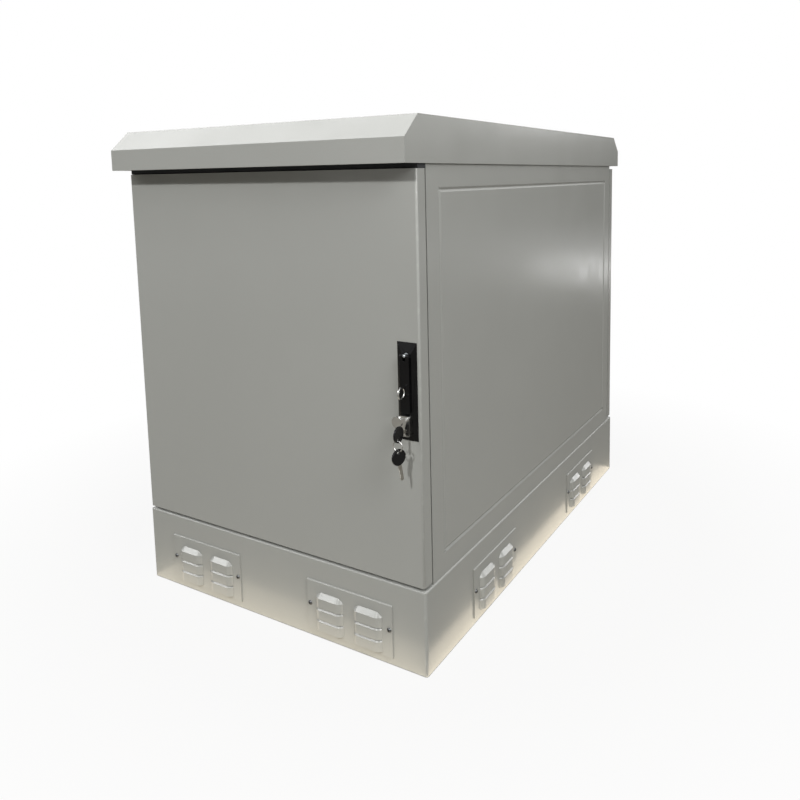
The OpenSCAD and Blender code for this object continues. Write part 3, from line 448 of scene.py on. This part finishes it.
def rubber_finish(finish):
    """Foam rubber: closed pores, chalky bloom, no gloss."""
    material, tree, shader, place = new_material("seal_rubber")
    rubber = tuple(finish.rubber)
    cells = add_node(tree, "ShaderNodeTexVoronoi", {"Vector": place, "Scale": 1100}, feature="F1")
    pores = cells.outputs["Distance"]
    bloom = noise(tree, place, 25, 4)
    tree.links.new(tint(tree, bloom, shade(rubber, 0.75), shade(rubber, 1.4)), shader.inputs["Base Color"])
    tree.links.new(spread(tree, bloom, 0.7, 0.85), shader.inputs["Roughness"])
    bump(tree, shader, pores, 0.0001)
    return material


def copper_finish(finish):
    """Drawn copper: lines along the bar, brown tarnish in patches."""
    material, tree, shader, place = new_material("copper")
    copper = tuple(finish.copper)
    drawn = lines(tree, place, (30, 900, 900))
    tarnish = noise(tree, place, 35, 4)
    brown = (copper[0] * 0.45, copper[1] * 0.4, copper[2] * 0.4)
    tree.links.new(tint(tree, tarnish, brown, copper, copper), shader.inputs["Base Color"])
    rough = calc(tree, "ADD", spread(tree, drawn, 0.22, 0.36), spread(tree, tarnish, 0.15, 0, 0.3, 0.5))
    tree.links.new(rough, shader.inputs["Roughness"])
    shader.inputs["Metallic"].default_value = 1
    bump(tree, shader, drawn, 0.00002)
    return material


FINISHES = {
    "grey_paint": paint_finish,
    "zinc": zinc_finish,
    "screw_steel": screw_painted_shade_finish,
    "black_lock": lacquer_finish,
    "black_plastic": plastic_finish,
    "chrome": chrome_finish,
    "key_steel": key_steel_finish,
    "seal_rubber": rubber_finish,
    "copper": copper_finish,
}


def finish_material(name):
    """The named finish's material, made the first time it is asked for."""
    found = bpy.data.materials.get(name)
    if found and found.get("cabinet_finish"):
        return found
    if found:
        found.name = name + ".packed"
    made = FINISHES[name](bpy.context.scene.cabinet_finish)
    made["cabinet_finish"] = True
    return made


def dress_node(node, finish, edge, segments=2):
    """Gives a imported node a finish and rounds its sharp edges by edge."""
    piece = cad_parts[node]
    piece.data.materials.clear()
    piece.data.materials.append(finish_material(finish))
    weld = piece.modifiers.new("join_triangles", "WELD")
    weld.merge_threshold = 0.00001
    rounding = piece.modifiers.new("round_edges", "BEVEL")
    rounding.width = edge
    rounding.segments = segments
    rounding.limit_method = "ANGLE"
    rounding.angle_limit = np.radians(35)
    rounding.harden_normals = True


def keep_flats(node):
    """Lets the shading of a dressed node follow its large flat faces."""
    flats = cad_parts[node].modifiers.new("keep_flats", "WEIGHTED_NORMAL")
    flats.keep_sharp = True


def join_flats(node):
    """Joins a dressed node's triangles that lie in one plane before its edges are rounded."""
    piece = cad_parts[node]
    flats = piece.modifiers.new("join_flats", "DECIMATE")
    flats.decimate_type = "DISSOLVE"
    flats.angle_limit = np.radians(1)
    piece.modifiers.move(len(piece.modifiers) - 1, 1)


def grid_faces(rows, cols, wrap_rows=False, wrap_cols=False):
    """Corner numbers of the quads between neighbours on a grid of rows by cols points."""
    r, c = np.meshgrid(
        np.arange(rows if wrap_rows else rows - 1),
        np.arange(cols if wrap_cols else cols - 1), indexing="ij")
    below, beside = (r + 1) % rows, (c + 1) % cols
    corners = (r * cols + c, r * cols + beside, below * cols + beside, below * cols + c)
    return np.stack(corners, -1).reshape(-1, 4)


def new_piece(name, surfaces, body, replaced):
    """Piece from (points, faces, finish) surfaces, which rides on body.

    Points in one place are joined, which closes seams and poles, and the faces are turned outwards.
    """
    points, faces, kinds, finishes, start = [], [], [], [], 0
    for grid, quads, finish in surfaces:
        if finish not in finishes:
            finishes.append(finish)
        points.append(grid.reshape(-1, 3))
        faces.append(quads + start)
        kinds.append(np.full(len(quads), finishes.index(finish), np.int32))
        start += len(points[-1])
    mesh = bpy.data.meshes.new(name)
    mesh.from_pydata(np.concatenate(points), [], np.concatenate(faces))
    mesh.polygons.foreach_set("material_index", np.concatenate(kinds))
    for finish in finishes:
        mesh.materials.append(finish_material(finish))
    build = bmesh.new()
    build.from_mesh(mesh)
    bmesh.ops.remove_doubles(build, verts=build.verts, dist=1e-7)
    bmesh.ops.recalc_face_normals(build, faces=build.faces)
    build.to_mesh(mesh)
    build.free()
    mesh.polygons.foreach_set("use_smooth", np.ones(len(mesh.polygons), bool))
    mesh.set_sharp_from_angle(angle=np.radians(40))
    piece = bpy.data.objects.new(name, mesh)
    bpy.context.scene.collection.objects.link(piece)
    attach(piece, body)
    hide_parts(*replaced)


def cross_drive(angle, reach, arm):
    """Radius of a cross recess at each angle: the nearer of an arm's end and its side."""
    turn = np.abs((angle + np.pi / 4) % (np.pi / 2) - np.pi / 4)
    return np.minimum(reach / np.cos(turn), arm / np.maximum(np.sin(turn), 1e-6))


def hex_drive(angle, flat):
    """Radius of a hexagon of the given half width at each angle."""
    turn = (angle + np.pi / 6) % (np.pi / 3) - np.pi / 6
    return flat / np.cos(turn)


def screw_surface(places, normals, head_r, head_h, shank_r, shank_len, recess, depth):
    """Domed screws: rings of points turned about each screw's axis.

    From the middle outwards a ring's radius is a share of the recess outline, then runs on to the rim,
    back under the head and down the shank. Its height follows a ball cap, less the recess's depth inside.
    """
    angle = np.linspace(0, 2 * np.pi, 48, endpoint=False)
    ball = (head_r ** 2 + head_h ** 2) / (2 * head_h)
    inner = recess(angle)[None, :]
    share = np.array([0.0, 0.6, 0.92, 1.0])[:, None]
    floor_r = share * inner
    outer = np.linspace(0, 1, 7)[:, None]
    dome_r = inner + outer * (head_r - inner)
    under_r = np.array([shank_r, shank_r, 0.0])[:, None] * np.ones_like(inner)
    cap = np.sqrt(ball ** 2 - dome_r ** 2) - (ball - head_h)
    sink = np.array([-depth, -depth, -depth, -depth * 0.8])[:, None]
    floor_h = cap[0].min() + sink * np.ones_like(inner)
    under_h = np.array([0.0, -shank_len, -shank_len])[:, None] * np.ones_like(inner)
    radius = np.concatenate([floor_r, dome_r, under_r])
    height = np.concatenate([floor_h, cap, under_h])
    side = np.cross(normals, np.where(np.abs(normals[:, 2:]) > 0.5, (0.0, 1.0, 0.0), (0.0, 0.0, 1.0)))
    up = np.cross(normals, side)
    points = (places[:, None, None]
              + (radius * np.cos(angle))[None, :, :, None] * side[:, None, None]
              + (radius * np.sin(angle))[None, :, :, None] * up[:, None, None]
              + height[None, :, :, None] * normals[:, None, None])
    rows, cols = radius.shape
    one = grid_faces(rows, cols, wrap_cols=True)
    faces = (one[None] + (np.arange(len(places)) * rows * cols)[:, None, None]).reshape(-1, 4)
    return points, faces


def plate_screw_places(detail):
    """Places and outward directions of the two screws on each louvre plate."""
    plinth_low, plinth_high = corners("plinth")
    screws_low, screws_high = corners("vent_screws")
    places, normals = [], []
    for node in PAINTED_PLATES:
        low, high = corners(node)
        axis = 1 if node.split("_")[1] in ("front", "rear") else 0
        sign = 1 if (low + high)[axis] > 0 else -1
        along = 1 - axis
        normal = np.zeros(3)
        normal[axis] = sign
        for end in (low[along] + detail.plate_screw_edge, high[along] - detail.plate_screw_edge):
            place = (low + high) / 2
            place[axis] = (plinth_high if sign > 0 else plinth_low)[axis] + sign * detail.plate_thickness
            place[along] = end
            place[2] = (screws_low[2] + screws_high[2]) / 2
            places.append(place)
            normals.append(normal)
    return np.array(places), np.array(normals)


def tube(path, across, lift, width, height):
    """Tube along a path: an ellipse of half width and height carried along, closed at both ends."""
    turn = np.linspace(0, 2 * np.pi, 16, endpoint=False)
    taper = np.ones(len(path))
    taper[[0, -1]] = 0
    taper[[1, -2]] = 0.8
    ring = (np.cos(turn)[None, :, None] * across[:, None] * width
            + np.sin(turn)[None, :, None] * lift[:, None] * height)
    points = path[:, None] + ring * taper[:, None, None]
    return points, grid_faces(len(path), len(turn), wrap_cols=True)


def split_ring_surface(centre, radius, wire):
    """Split ring: two turns of flat wire side by side, with one step across where they change over."""
    turn = np.linspace(0, 2, 181)
    angle = 2 * np.pi * turn + np.pi / 3
    out = np.stack([np.cos(angle), np.zeros_like(angle), np.sin(angle)], -1)
    side = np.tile((0.0, 1.0, 0.0), (len(angle), 1))
    step = np.tanh((turn - 1) * 14) * wire / 2
    path = centre + radius * out + step[:, None] * side
    return tube(path, out, side, wire * 0.85, wire * 0.46)


def key_bow_surface(hole, along, up, normal, centre, bow_r, hole_r, half_t):
    """Moulded key bow: from the ring hole's edge to the round outline, with rounded edges and dished faces.

    For each angle round the hole the outline's distance is where that ray leaves the circle. A rounded
    section is carried round the hole between the two.
    """
    angle = np.linspace(0, 2 * np.pi, 72, endpoint=False)
    ray = np.stack([np.cos(angle), np.sin(angle)], -1)
    offset = -np.array(centre)
    toward = ray @ offset
    outer = -toward + np.sqrt(toward ** 2 - offset @ offset + bow_r ** 2)
    turn = np.linspace(0, 2 * np.pi, 40, endpoint=False)
    share = 0.5 - 0.5 * np.sign(np.cos(turn)) * np.abs(np.cos(turn)) ** 0.35
    tall = np.sign(np.sin(turn)) * np.abs(np.sin(turn)) ** 0.35
    dish = 1 - 0.16 * np.exp(-((share - 0.5) / 0.22) ** 4)
    distance = hole_r + share[None] * (outer - hole_r)[:, None]
    flat = distance[..., None] * ray[:, None]
    points = (hole + flat[..., :1] * along + flat[..., 1:] * up
              + (half_t * tall * dish)[None, :, None] * normal)
    return points, grid_faces(len(angle), len(turn), wrap_rows=True, wrap_cols=True)


def key_blade_surface(start, along, up, normal, length, half_h, half_t, notches):
    """Key blade: a grooved bar carried along its length, with the lower edge cut by notches."""
    step = np.linspace(0, 1, 73)
    depth = np.zeros_like(step)
    for place, cut in notches:
        depth = np.maximum(depth, np.clip(cut - np.abs(step - place) * length * 1.1, 0, None))
    tip = np.clip((step - 0.9) / 0.1, 0, 1) * half_h * 0.55
    high = half_h - tip * 0.4
    low = -half_h + np.maximum(depth, tip)
    level = np.array([1, 1, 0.45, 0.3, 0.05, -0.1, -1, -1, -0.1, 0.05, 0.3, 0.45])
    thick = np.array([-1, 1, 1, 0.6, 0.6, 1, 1, -1, -1, -0.6, -0.6, -1]) * half_t
    tall = np.where(level > -1, np.minimum(level * half_h, high[:, None]), low[:, None])
    points = (start + (step * length)[:, None, None] * along
              + tall[..., None] * up + thick[None, :, None] * normal)
    ends = points[[0, -1]].mean(1, keepdims=True) * np.ones((2, len(level), 1))
    points = np.concatenate([ends[:1], points, ends[1:]])
    return points, grid_faces(len(points), len(level), wrap_cols=True)


def frame_sweep(low, high, plane, corner, profile):
    """Profile carried round a rectangle with round corners.

    The path takes equal steps round each quarter circle and joins them straight. The profile's first
    number goes outwards in the rectangle's plane and its second across the plane.
    """
    turn = np.linspace(0, np.pi / 2, 9)
    quarter = np.arange(4)[:, None] * np.pi / 2 + turn[None]
    out = np.stack([np.cos(quarter), np.sin(quarter)], -1).reshape(-1, 2)
    mid = np.repeat(np.array([(1, 1), (-1, 1), (-1, -1), (1, -1)]), len(turn), 0)
    half = (np.array(high) - np.array(low)) / 2 - corner
    path = (np.array(high) + np.array(low)) / 2 + mid * half + out * corner
    flat = path[:, None] + out[:, None] * profile[None, :, :1]
    points = np.zeros((*flat.shape[:2], 3))
    points[..., plane[0]] = flat[..., 0]
    points[..., plane[1]] = flat[..., 1]
    points[..., plane[2]] = profile[None, :, 1]
    return points, grid_faces(len(path), len(profile), wrap_rows=True, wrap_cols=True)


def strip_surface(low, high):
    """Rubber strip along x: a block's outline with rounded corners carried from low to high.

    The outline is a circle's cosine and sine, each raised to a small power, which squares it. It
    shrinks to a point at each end, which closes the strip.
    """
    turn = np.linspace(0, 2 * np.pi, 32, endpoint=False)
    middle, half = (low + high) / 2, (high - low) / 2
    along = np.array([low[0], low[0], high[0], high[0]])[:, None]
    size = np.array([0.0, 1.0, 1.0, 0.0])[:, None]
    y = middle[1] + size * half[1] * np.sign(np.cos(turn)) * np.abs(np.cos(turn)) ** 0.25
    z = middle[2] + size * half[2] * np.sign(np.sin(turn)) * np.abs(np.sin(turn)) ** 0.25
    x = np.broadcast_to(along, y.shape)
    return np.stack([x, y, z], -1), grid_faces(4, len(turn), wrap_cols=True)


class CABINET_OT_paint_sheets(bpy.types.Operator):
    """Grey powder coat on the sheets, louvre plates and inner frames, with softened edges"""

    bl_idname = "cabinet.paint_sheets"
    bl_label = "Paint the sheets"

    def execute(self, context):
        edge = context.scene.cabinet_detail.sheet_edge
        for node in PAINTED_SHEETS:
            dress_node(node, "grey_paint", edge)
        for node in PAINTED_PLATES + PAINTED_INSIDE:
            dress_node(node, "grey_paint", edge / 2)
        for node in PAINTED_PLATES + ("plinth",):
            keep_flats(node)
        join_flats("roof_cap")
        return {"FINISHED"}


class CABINET_OT_plate_fittings(bpy.types.Operator):
    """Zinc on rails, supports, hinges and rods, copper and plastic on the earth bar"""

    bl_idname = "cabinet.plate_fittings"
    bl_label = "Plate the fittings"

    def execute(self, context):
        edge = context.scene.cabinet_detail.fitting_edge
        for node in ZINC_FITTINGS:
            dress_node(node, "zinc", edge)
        for node in PLASTIC_NODES:
            dress_node(node, "black_plastic", edge)
        dress_node("earth_bar", "copper", edge)
        return {"FINISHED"}


class CABINET_OT_dress_lock(bpy.types.Operator):
    """Black lacquer on the lock housing and handle, chrome on the cylinder, plug, eye and cover"""

    bl_idname = "cabinet.dress_lock"
    bl_label = "Dress the lock"

    def execute(self, context):
        detail = context.scene.cabinet_detail
        for node in BLACK_LOCK_NODES:
            dress_node(node, "black_lock", detail.lock_edge, 3)
        for node in CHROME_NODES:
            dress_node(node, "chrome", detail.fitting_edge, 3)
        return {"FINISHED"}


class CABINET_OT_make_screws(bpy.types.Operator):
    """Domed screws with cross and hexagon recesses on the plates, the rear cover and the roof"""

    bl_idname = "cabinet.make_screws"
    bl_label = "Make the screws"

    def execute(self, context):
        self.plate_screws(context.scene.cabinet_detail)
        self.cover_screws()
        self.roof_bolts()
        return {"FINISHED"}

    def plate_screws(self, detail):
        """Small cross-head screws of the louvre plates."""
        places, normals = plate_screw_places(detail)
        screws = screw_surface(
            places, normals, head_r=4 * MM, head_h=2.6 * MM, shank_r=2 * MM, shank_len=9 * MM,
            recess=lambda angle: cross_drive(angle, 2.2 * MM, 0.45 * MM), depth=1.1 * MM)
        new_piece("plate_screw_heads", [(*screws, "screw_steel")], "cabinet", ["vent_screws"])

    def cover_screws(self):
        """Hexagon-socket screws in two columns on the rear cover."""
        low, high = corners("rear_cover_screws")
        head_r = 6 * MM
        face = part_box("rear_cover")[1][1]
        columns = (low[0] + head_r, high[0] - head_r)
        rows = (low[2] + head_r, (low[2] + high[2]) / 2, high[2] - head_r)
        places = np.array([(x, face, z) for x in columns for z in rows])
        normals = np.tile((0.0, 1.0, 0.0), (len(places), 1))
        screws = screw_surface(
            places, normals, head_r=head_r, head_h=3 * MM, shank_r=3 * MM, shank_len=face - low[1],
            recess=lambda angle: hex_drive(angle, 1.9 * MM), depth=1.6 * MM)
        new_piece("cover_screw_heads", [(*screws, "zinc")], "cabinet", ["rear_cover_screws"])

    def roof_bolts(self):
        """Hexagon-socket bolts at the roof's four corners."""
        low, high = corners("roof_bolts")
        head_r = 8 * MM
        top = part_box("roof_cap")[1][2]
        columns = (low[0] + head_r, high[0] - head_r)
        rows = (low[1] + head_r, high[1] - head_r)
        places = np.array([(x, y, top) for x in columns for y in rows])
        normals = np.tile((0.0, 0.0, 1.0), (len(places), 1))
        bolts = screw_surface(
            places, normals, head_r=head_r, head_h=4 * MM, shank_r=4 * MM, shank_len=top - low[2],
            recess=lambda angle: hex_drive(angle, 2.5 * MM), depth=2.1 * MM)
        new_piece("roof_bolt_heads", [(*bolts, "zinc")], "cabinet", ["roof_bolts"])


class CABINET_OT_make_keys(bpy.types.Operator):
    """Two keys with moulded bows and cut blades on a split ring"""

    bl_idname = "cabinet.make_keys"
    bl_label = "Make the keys"

    def execute(self, context):
        detail = context.scene.cabinet_detail
        low, high = corners("key_ring")
        centre = (low + high) / 2
        radius = (high - low)[0] / 2 - detail.ring_wire
        ring = split_ring_surface(centre, radius, detail.ring_wire)
        new_piece("split_ring", [(*ring, "chrome")], "key_set", ["key_ring"])
        self.door_key()
        self.spare_key(detail)
        return {"FINISHED"}

    def door_key(self):
        """Key in the lock: its bow stands in the upright plane across the door."""
        low, high = corners("door_key")
        bow_r = (high - low)[2] / 2
        bow = np.array([(low[0] + high[0]) / 2, low[1] + bow_r, (low[2] + high[2]) / 2])
        x, y, z = np.eye(3)
        forward, down = 2.5 * MM, 7.5 * MM
        hole = bow - forward * y - down * z
        head = key_bow_surface(hole, y, z, x, (forward, down), bow_r, KEY_HOLE_R, BOW_HALF_T)
        start = bow + y * (bow_r - BLADE_ROOT)
        notches = ((0.35, 0.9 * MM), (0.55, 1.3 * MM), (0.75, 0.8 * MM))
        blade = key_blade_surface(
            start, y, z, x, high[1] - start[1], BLADE_HALF_H, BLADE_HALF_T, notches)
        new_piece("lock_key", [(*head, "black_plastic"), (*blade, "key_steel")],
                  "key", ["door_key"])

    def spare_key(self, detail):
        """Spare key: it hangs from the ring, turned and leaning a little."""
        ring_low, ring_high = corners("key_ring")
        hang = 1 * MM
        hole = (ring_low + ring_high) / 2
        hole[2] = ring_low[2] + detail.ring_wire - hang
        turn, lean = detail.spare_turn, detail.spare_lean
        level = np.array([-np.sin(turn), np.cos(turn), 0])
        normal = np.array([np.cos(turn), np.sin(turn), 0])
        upright = np.array([0, 0, 1.0])
        across = np.cos(lean) * level + np.sin(lean) * upright
        up = np.cos(lean) * upright - np.sin(lean) * level
        key_low, key_high = corners("door_key")
        bow_r = (key_high - key_low)[2] / 2
        hole_edge = 4 * MM
        head = key_bow_surface(
            hole, across, up, normal, (0.0, hole_edge - bow_r), bow_r, KEY_HOLE_R, BOW_HALF_T)
        start = hole - up * (2 * bow_r - hole_edge - BLADE_ROOT)
        notches = ((0.3, 0.9 * MM), (0.42, 1.4 * MM), (0.54, 0.8 * MM), (0.66, 1.5 * MM), (0.78, 1 * MM))
        blade = key_blade_surface(
            start, -up, across, normal, detail.spare_blade + BLADE_ROOT,
            BLADE_HALF_H, BLADE_HALF_T, notches)
        new_piece("hanging_key", [(*head, "black_plastic"), (*blade, "key_steel")],
                  "key_set", ["spare_key"])


class CABINET_OT_make_seals(bpy.types.Operator):
    """Round-topped foam seal on the door, rubber edge round the cable entry, strip above the door"""

    bl_idname = "cabinet.make_seals"
    bl_label = "Make the seals"

    def execute(self, context):
        detail = context.scene.cabinet_detail
        gasket = self.bead("door_seal", (0, 2, 1), 9.5 * MM, detail.seal_corner)
        new_piece("door_gasket", [(*gasket, "seal_rubber")], "door", ["door_seal"])
        edge = self.bead("cable_trim", (0, 1, 2), 6 * MM, detail.seal_corner)
        new_piece("cable_edge", [(*edge, "seal_rubber")], "cabinet", ["cable_trim"])
        low, high = corners("weather_strip")
        low[2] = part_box("door_panel")[1][2] + detail.strip_gap
        strip = strip_surface(low, high)
        new_piece("door_top_strip", [(*strip, "seal_rubber")], "cabinet", ["weather_strip"])
        return {"FINISHED"}

    def bead(self, node, plane, width, corner):
        """Round-topped bead in place of a node: plane gives its two flat axes and the axis it rises on."""
        low, high = corners(node)
        turn = np.linspace(0, np.pi, 15)
        rise = low[plane[2]] + (high - low)[plane[2]] * np.sin(turn) ** 0.6
        profile = np.stack([width / 2 * np.cos(turn), rise], -1)
        flat = list(plane[:2])
        return frame_sweep(low[flat] + width / 2, high[flat] - width / 2, plane, corner, profile)


def add_lamp(name, place, target, power, width, height, colour=(1.0, 1.0, 1.0), along=None):
    """Rectangular lamp at place that faces target, its width level or along the given direction."""
    lamp = bpy.data.lights.new(name, "AREA")
    lamp.shape = "RECTANGLE"
    lamp.size = width
    lamp.size_y = height
    lamp.energy = power
    lamp.color = colour
    holder = bpy.data.objects.new(name, lamp)
    back = np.array(place, float) - np.array(target, float)
    back /= np.linalg.norm(back)
    level = np.cross((0.0, 0.0, 1.0) if abs(back[2]) < 0.95 else (0.0, 1.0, 0.0), back)
    side = level if along is None else np.array(along) - np.dot(along, back) * back
    side /= np.linalg.norm(side)
    turn = np.stack([side, np.cross(back, side), back], -1)
    holder.matrix_world = Matrix.Translation(place) @ Matrix(turn.tolist()).to_4x4()
    holder.visible_camera = False
    bpy.context.scene.collection.objects.link(holder)


def backdrop_finish(studio, name, mirrored_white):
    """Pale backdrop that shows the shadow near the cabinet and runs out to white further off."""
    material, tree, shader, place = new_material(name)
    colour = tuple(studio.floor_colour)
    patch = noise(tree, place, 1.5, 3)
    tree.links.new(tint(tree, patch, shade(colour, 0.97), shade(colour, 1.03)), shader.inputs["Base Color"])
    shader.inputs["Roughness"].default_value = 0.9
    shader.inputs["Specular IOR Level"].default_value = 0.1
    away = add_node(tree, "ShaderNodeVectorMath", {0: place}, operation="LENGTH").outputs["Value"]
    rays = add_node(tree, "ShaderNodeLightPath").outputs
    seen = calc(tree, "MULTIPLY", rays["Is Camera Ray"], spread(tree, away, 0.92, 1, 0.6, 1.2))
    mirrored = calc(tree, "MAXIMUM", rays["Is Glossy Ray"], rays["Is Transmission Ray"])
    mirrored = calc(tree, "MULTIPLY", mirrored, spread(tree, away, 0, mirrored_white, 3.5, 7.5))
    white = add_node(tree, "ShaderNodeEmission", {"Color": (1, 1, 1, 1), "Strength": 1.0})
    mix = add_node(tree, "ShaderNodeMixShader", {
        0: calc(tree, "MAXIMUM", seen, mirrored), 1: shader.outputs[0], 2: white.outputs[0]})
    tree.links.new(mix.outputs[0], tree.nodes["Material Output"].inputs["Surface"])
    return material


def white_world(ambient):
    """World that looks white, also in reflections and through glass, and gives even light of ambient."""
    world = bpy.data.worlds.new("studio_world")
    world.use_nodes = True
    tree = world.node_tree
    rays = add_node(tree, "ShaderNodeLightPath").outputs
    seen = calc(tree, "MAXIMUM", rays["Is Camera Ray"], rays["Is Glossy Ray"])
    seen = calc(tree, "MAXIMUM", seen, rays["Is Transmission Ray"])
    strength = spread(tree, seen, ambient, 1, 0, 1)
    backdrop = tree.nodes["Background"]
    backdrop.inputs["Color"].default_value = (1, 1, 1, 1)
    tree.links.new(strength, backdrop.inputs["Strength"])
    return world


class CABINET_OT_set_stage(bpy.types.Operator):
    """Camera, lamps, pale floor and white world"""

    bl_idname = "cabinet.set_stage"
    bl_label = "Set the stage"

    def execute(self, context):
        studio = context.scene.cabinet_studio
        context.scene.view_settings.view_transform = "Standard"
        self.place_camera(context, studio)
        self.hang_lamps(studio)
        context.scene.world = white_world(studio.ambient)
        self.lay_floor(context, studio)
        self.stand_screen(context, studio, "rear_screen", (3.0, 7.0), (0.93, -0.37), (3.0, 2.8), 0.0)
        self.stand_screen(context, studio, "front_screen", (-6.22, -4.19), (-0.56, 0.83), (2.7, 3.6), 0.15)
        return {"FINISHED"}

    def place_camera(self, context, studio):
        """Camera at its place: its back points away from the view, then it is rolled."""
        yaw, pitch, roll = studio.camera_yaw, studio.camera_pitch, studio.camera_roll
        back = np.array([np.sin(yaw) * np.cos(pitch), -np.cos(yaw) * np.cos(pitch), np.sin(pitch)])
        right = np.array([np.cos(yaw), np.sin(yaw), 0])
        up = np.cross(back, right)
        side = np.cos(roll) * right + np.sin(roll) * up
        top = np.cos(roll) * up - np.sin(roll) * right
        lens = bpy.data.cameras.new("camera")
        lens.sensor_width = 36
        lens.lens = studio.focal_length
        lens.shift_x = studio.shift_x
        lens.shift_y = studio.shift_y
        camera = bpy.data.objects.new("camera", lens)
        turn = Matrix(np.stack([side, top, back], -1).tolist()).to_4x4()
        camera.matrix_world = Matrix.Translation(studio.camera_place) @ turn
        context.scene.collection.objects.link(camera)
        context.scene.camera = camera

    def hang_lamps(self, studio):
        """Small key lamp in front, soft lamps under the ceiling, low lamps that the sheets mirror."""
        warm = (1.0, 0.88, 0.7)
        low, high = corners("plinth")
        middle = (0, 0, CAD_BOX[1][2] / 2)
        add_lamp("key_lamp", (0.2, -4.4, 3.73), middle, studio.key_power, 0.25, 0.25)
        add_lamp("fill_lamp", (3.0, -1.5, 2.7), middle, studio.fill_power, 1.5, 1.5)
        add_lamp("ceiling_lamp", (1.3, -0.4, 3.1), (0.3, -0.1, 0.1), studio.ceiling_power, 1.6, 1.6)
        add_lamp("roof_lamp", (-2.0, -0.17, 2.77), (-2.0, -0.17, 0), studio.roof_power, 2.8, 0.6)
        add_lamp("front_lamp", (-2.35, -2.62, 2.39), (0, -0.45, 0.06), studio.front_power, 2.0, 0.5,
                 along=(1.49, -0.49, 0.53))
        add_lamp("rear_lamp", (3.13, 4.88, 1.94), (0.3, 0, 0.06), studio.rear_power, 2.6, 0.5,
                 along=(1.07, -1.66, 0.73))
        add_lamp("glint_lamp", (1.29, 3.03, 0.16), (0.3, 0.22, 0.53), studio.glint_power, 0.2, 0.12)
        under, above_floor = 4 * MM, 1 * MM
        width = 65 * MM
        front = low[1] + under - width / 2
        add_lamp("front_strip", (0, front, above_floor), (0, front, 1), studio.front_strip_power,
                 high[0] - low[0], width, warm)
        width = 34 * MM
        side = high[0] - under + width / 2
        add_lamp("side_strip", (side, 0, above_floor), (side, 0, 1), studio.side_strip_power,
                 width, high[1] - low[1], warm)

    def lay_floor(self, context, studio):
        """Flat square floor under the plinth."""
        reach = np.linspace(-20, 20, 5)
        x, y = np.meshgrid(reach, reach, indexing="ij")
        floor = np.stack([x, y, np.zeros_like(x)], -1)
        self.backdrop(context, "studio_floor", floor, backdrop_finish(studio, "studio_floor", 1.0))

    def stand_screen(self, context, studio, name, place, along, size, mirrored_white):
        """Upright screen far off at place, with a half width and a height, for calm reflections."""
        half, height = size
        across = np.linspace(-half, half, 5)
        up = np.linspace(0, height, 5)
        a, z = np.meshgrid(across, up, indexing="ij")
        screen = np.stack([place[0] + along[0] * a, place[1] + along[1] * a, z], -1)
        self.backdrop(context, name, screen, backdrop_finish(studio, name, mirrored_white))

    def backdrop(self, context, name, grid, material):
        """Stage piece from a grid of points."""
        mesh = bpy.data.meshes.new(name)
        mesh.from_pydata(grid.reshape(-1, 3), [], grid_faces(*grid.shape[:2])[:, ::-1])
        mesh.materials.append(material)
        piece = bpy.data.objects.new(name, mesh)
        context.scene.collection.objects.link(piece)


class CABINET_PT_sidebar(bpy.types.Panel):
    """The cabinet's steps, sizes and colours in the sidebar"""

    bl_idname = "CABINET_PT_sidebar"
    bl_label = "Utility cabinet"
    bl_space_type = "VIEW_3D"
    bl_region_type = "UI"
    bl_category = "Cabinet"

    def draw(self, context):
        for step in STEPS:
            self.layout.operator(step.bl_idname)
        for owner in GROUPS:
            group = getattr(context.scene, owner)
            box = self.layout.box()
            for name in group.bl_rna.properties.keys():
                if name not in ("rna_type", "name"):
                    box.prop(group, name)


GROUPS = {
    "cabinet_finish": CabinetFinish,
    "cabinet_detail": CabinetDetail,
    "cabinet_studio": CabinetStudio,
}
STEPS = (
    CABINET_OT_paint_sheets, CABINET_OT_plate_fittings, CABINET_OT_dress_lock,
    CABINET_OT_make_screws, CABINET_OT_make_keys, CABINET_OT_make_seals, CABINET_OT_set_stage,
)


def register():
    """Registers the classes and hangs the settings on the scene."""
    for name, group in GROUPS.items():
        bpy.utils.register_class(group)
        setattr(bpy.types.Scene, name, bpy.props.PointerProperty(type=group))
    for step in STEPS:
        bpy.utils.register_class(step)
    bpy.utils.register_class(CABINET_PT_sidebar)


def unregister():
    """Takes the settings off the scene and the classes out again."""
    bpy.utils.unregister_class(CABINET_PT_sidebar)
    for step in reversed(STEPS):
        bpy.utils.unregister_class(step)
    for name, group in GROUPS.items():
        delattr(bpy.types.Scene, name)
        bpy.utils.unregister_class(group)


def main():
    """Runs every step in order."""
    register()
    for step in STEPS:
        group, name = step.bl_idname.split(".")
        getattr(getattr(bpy.ops, group), name)()


if __name__ == "__main__":
    main()
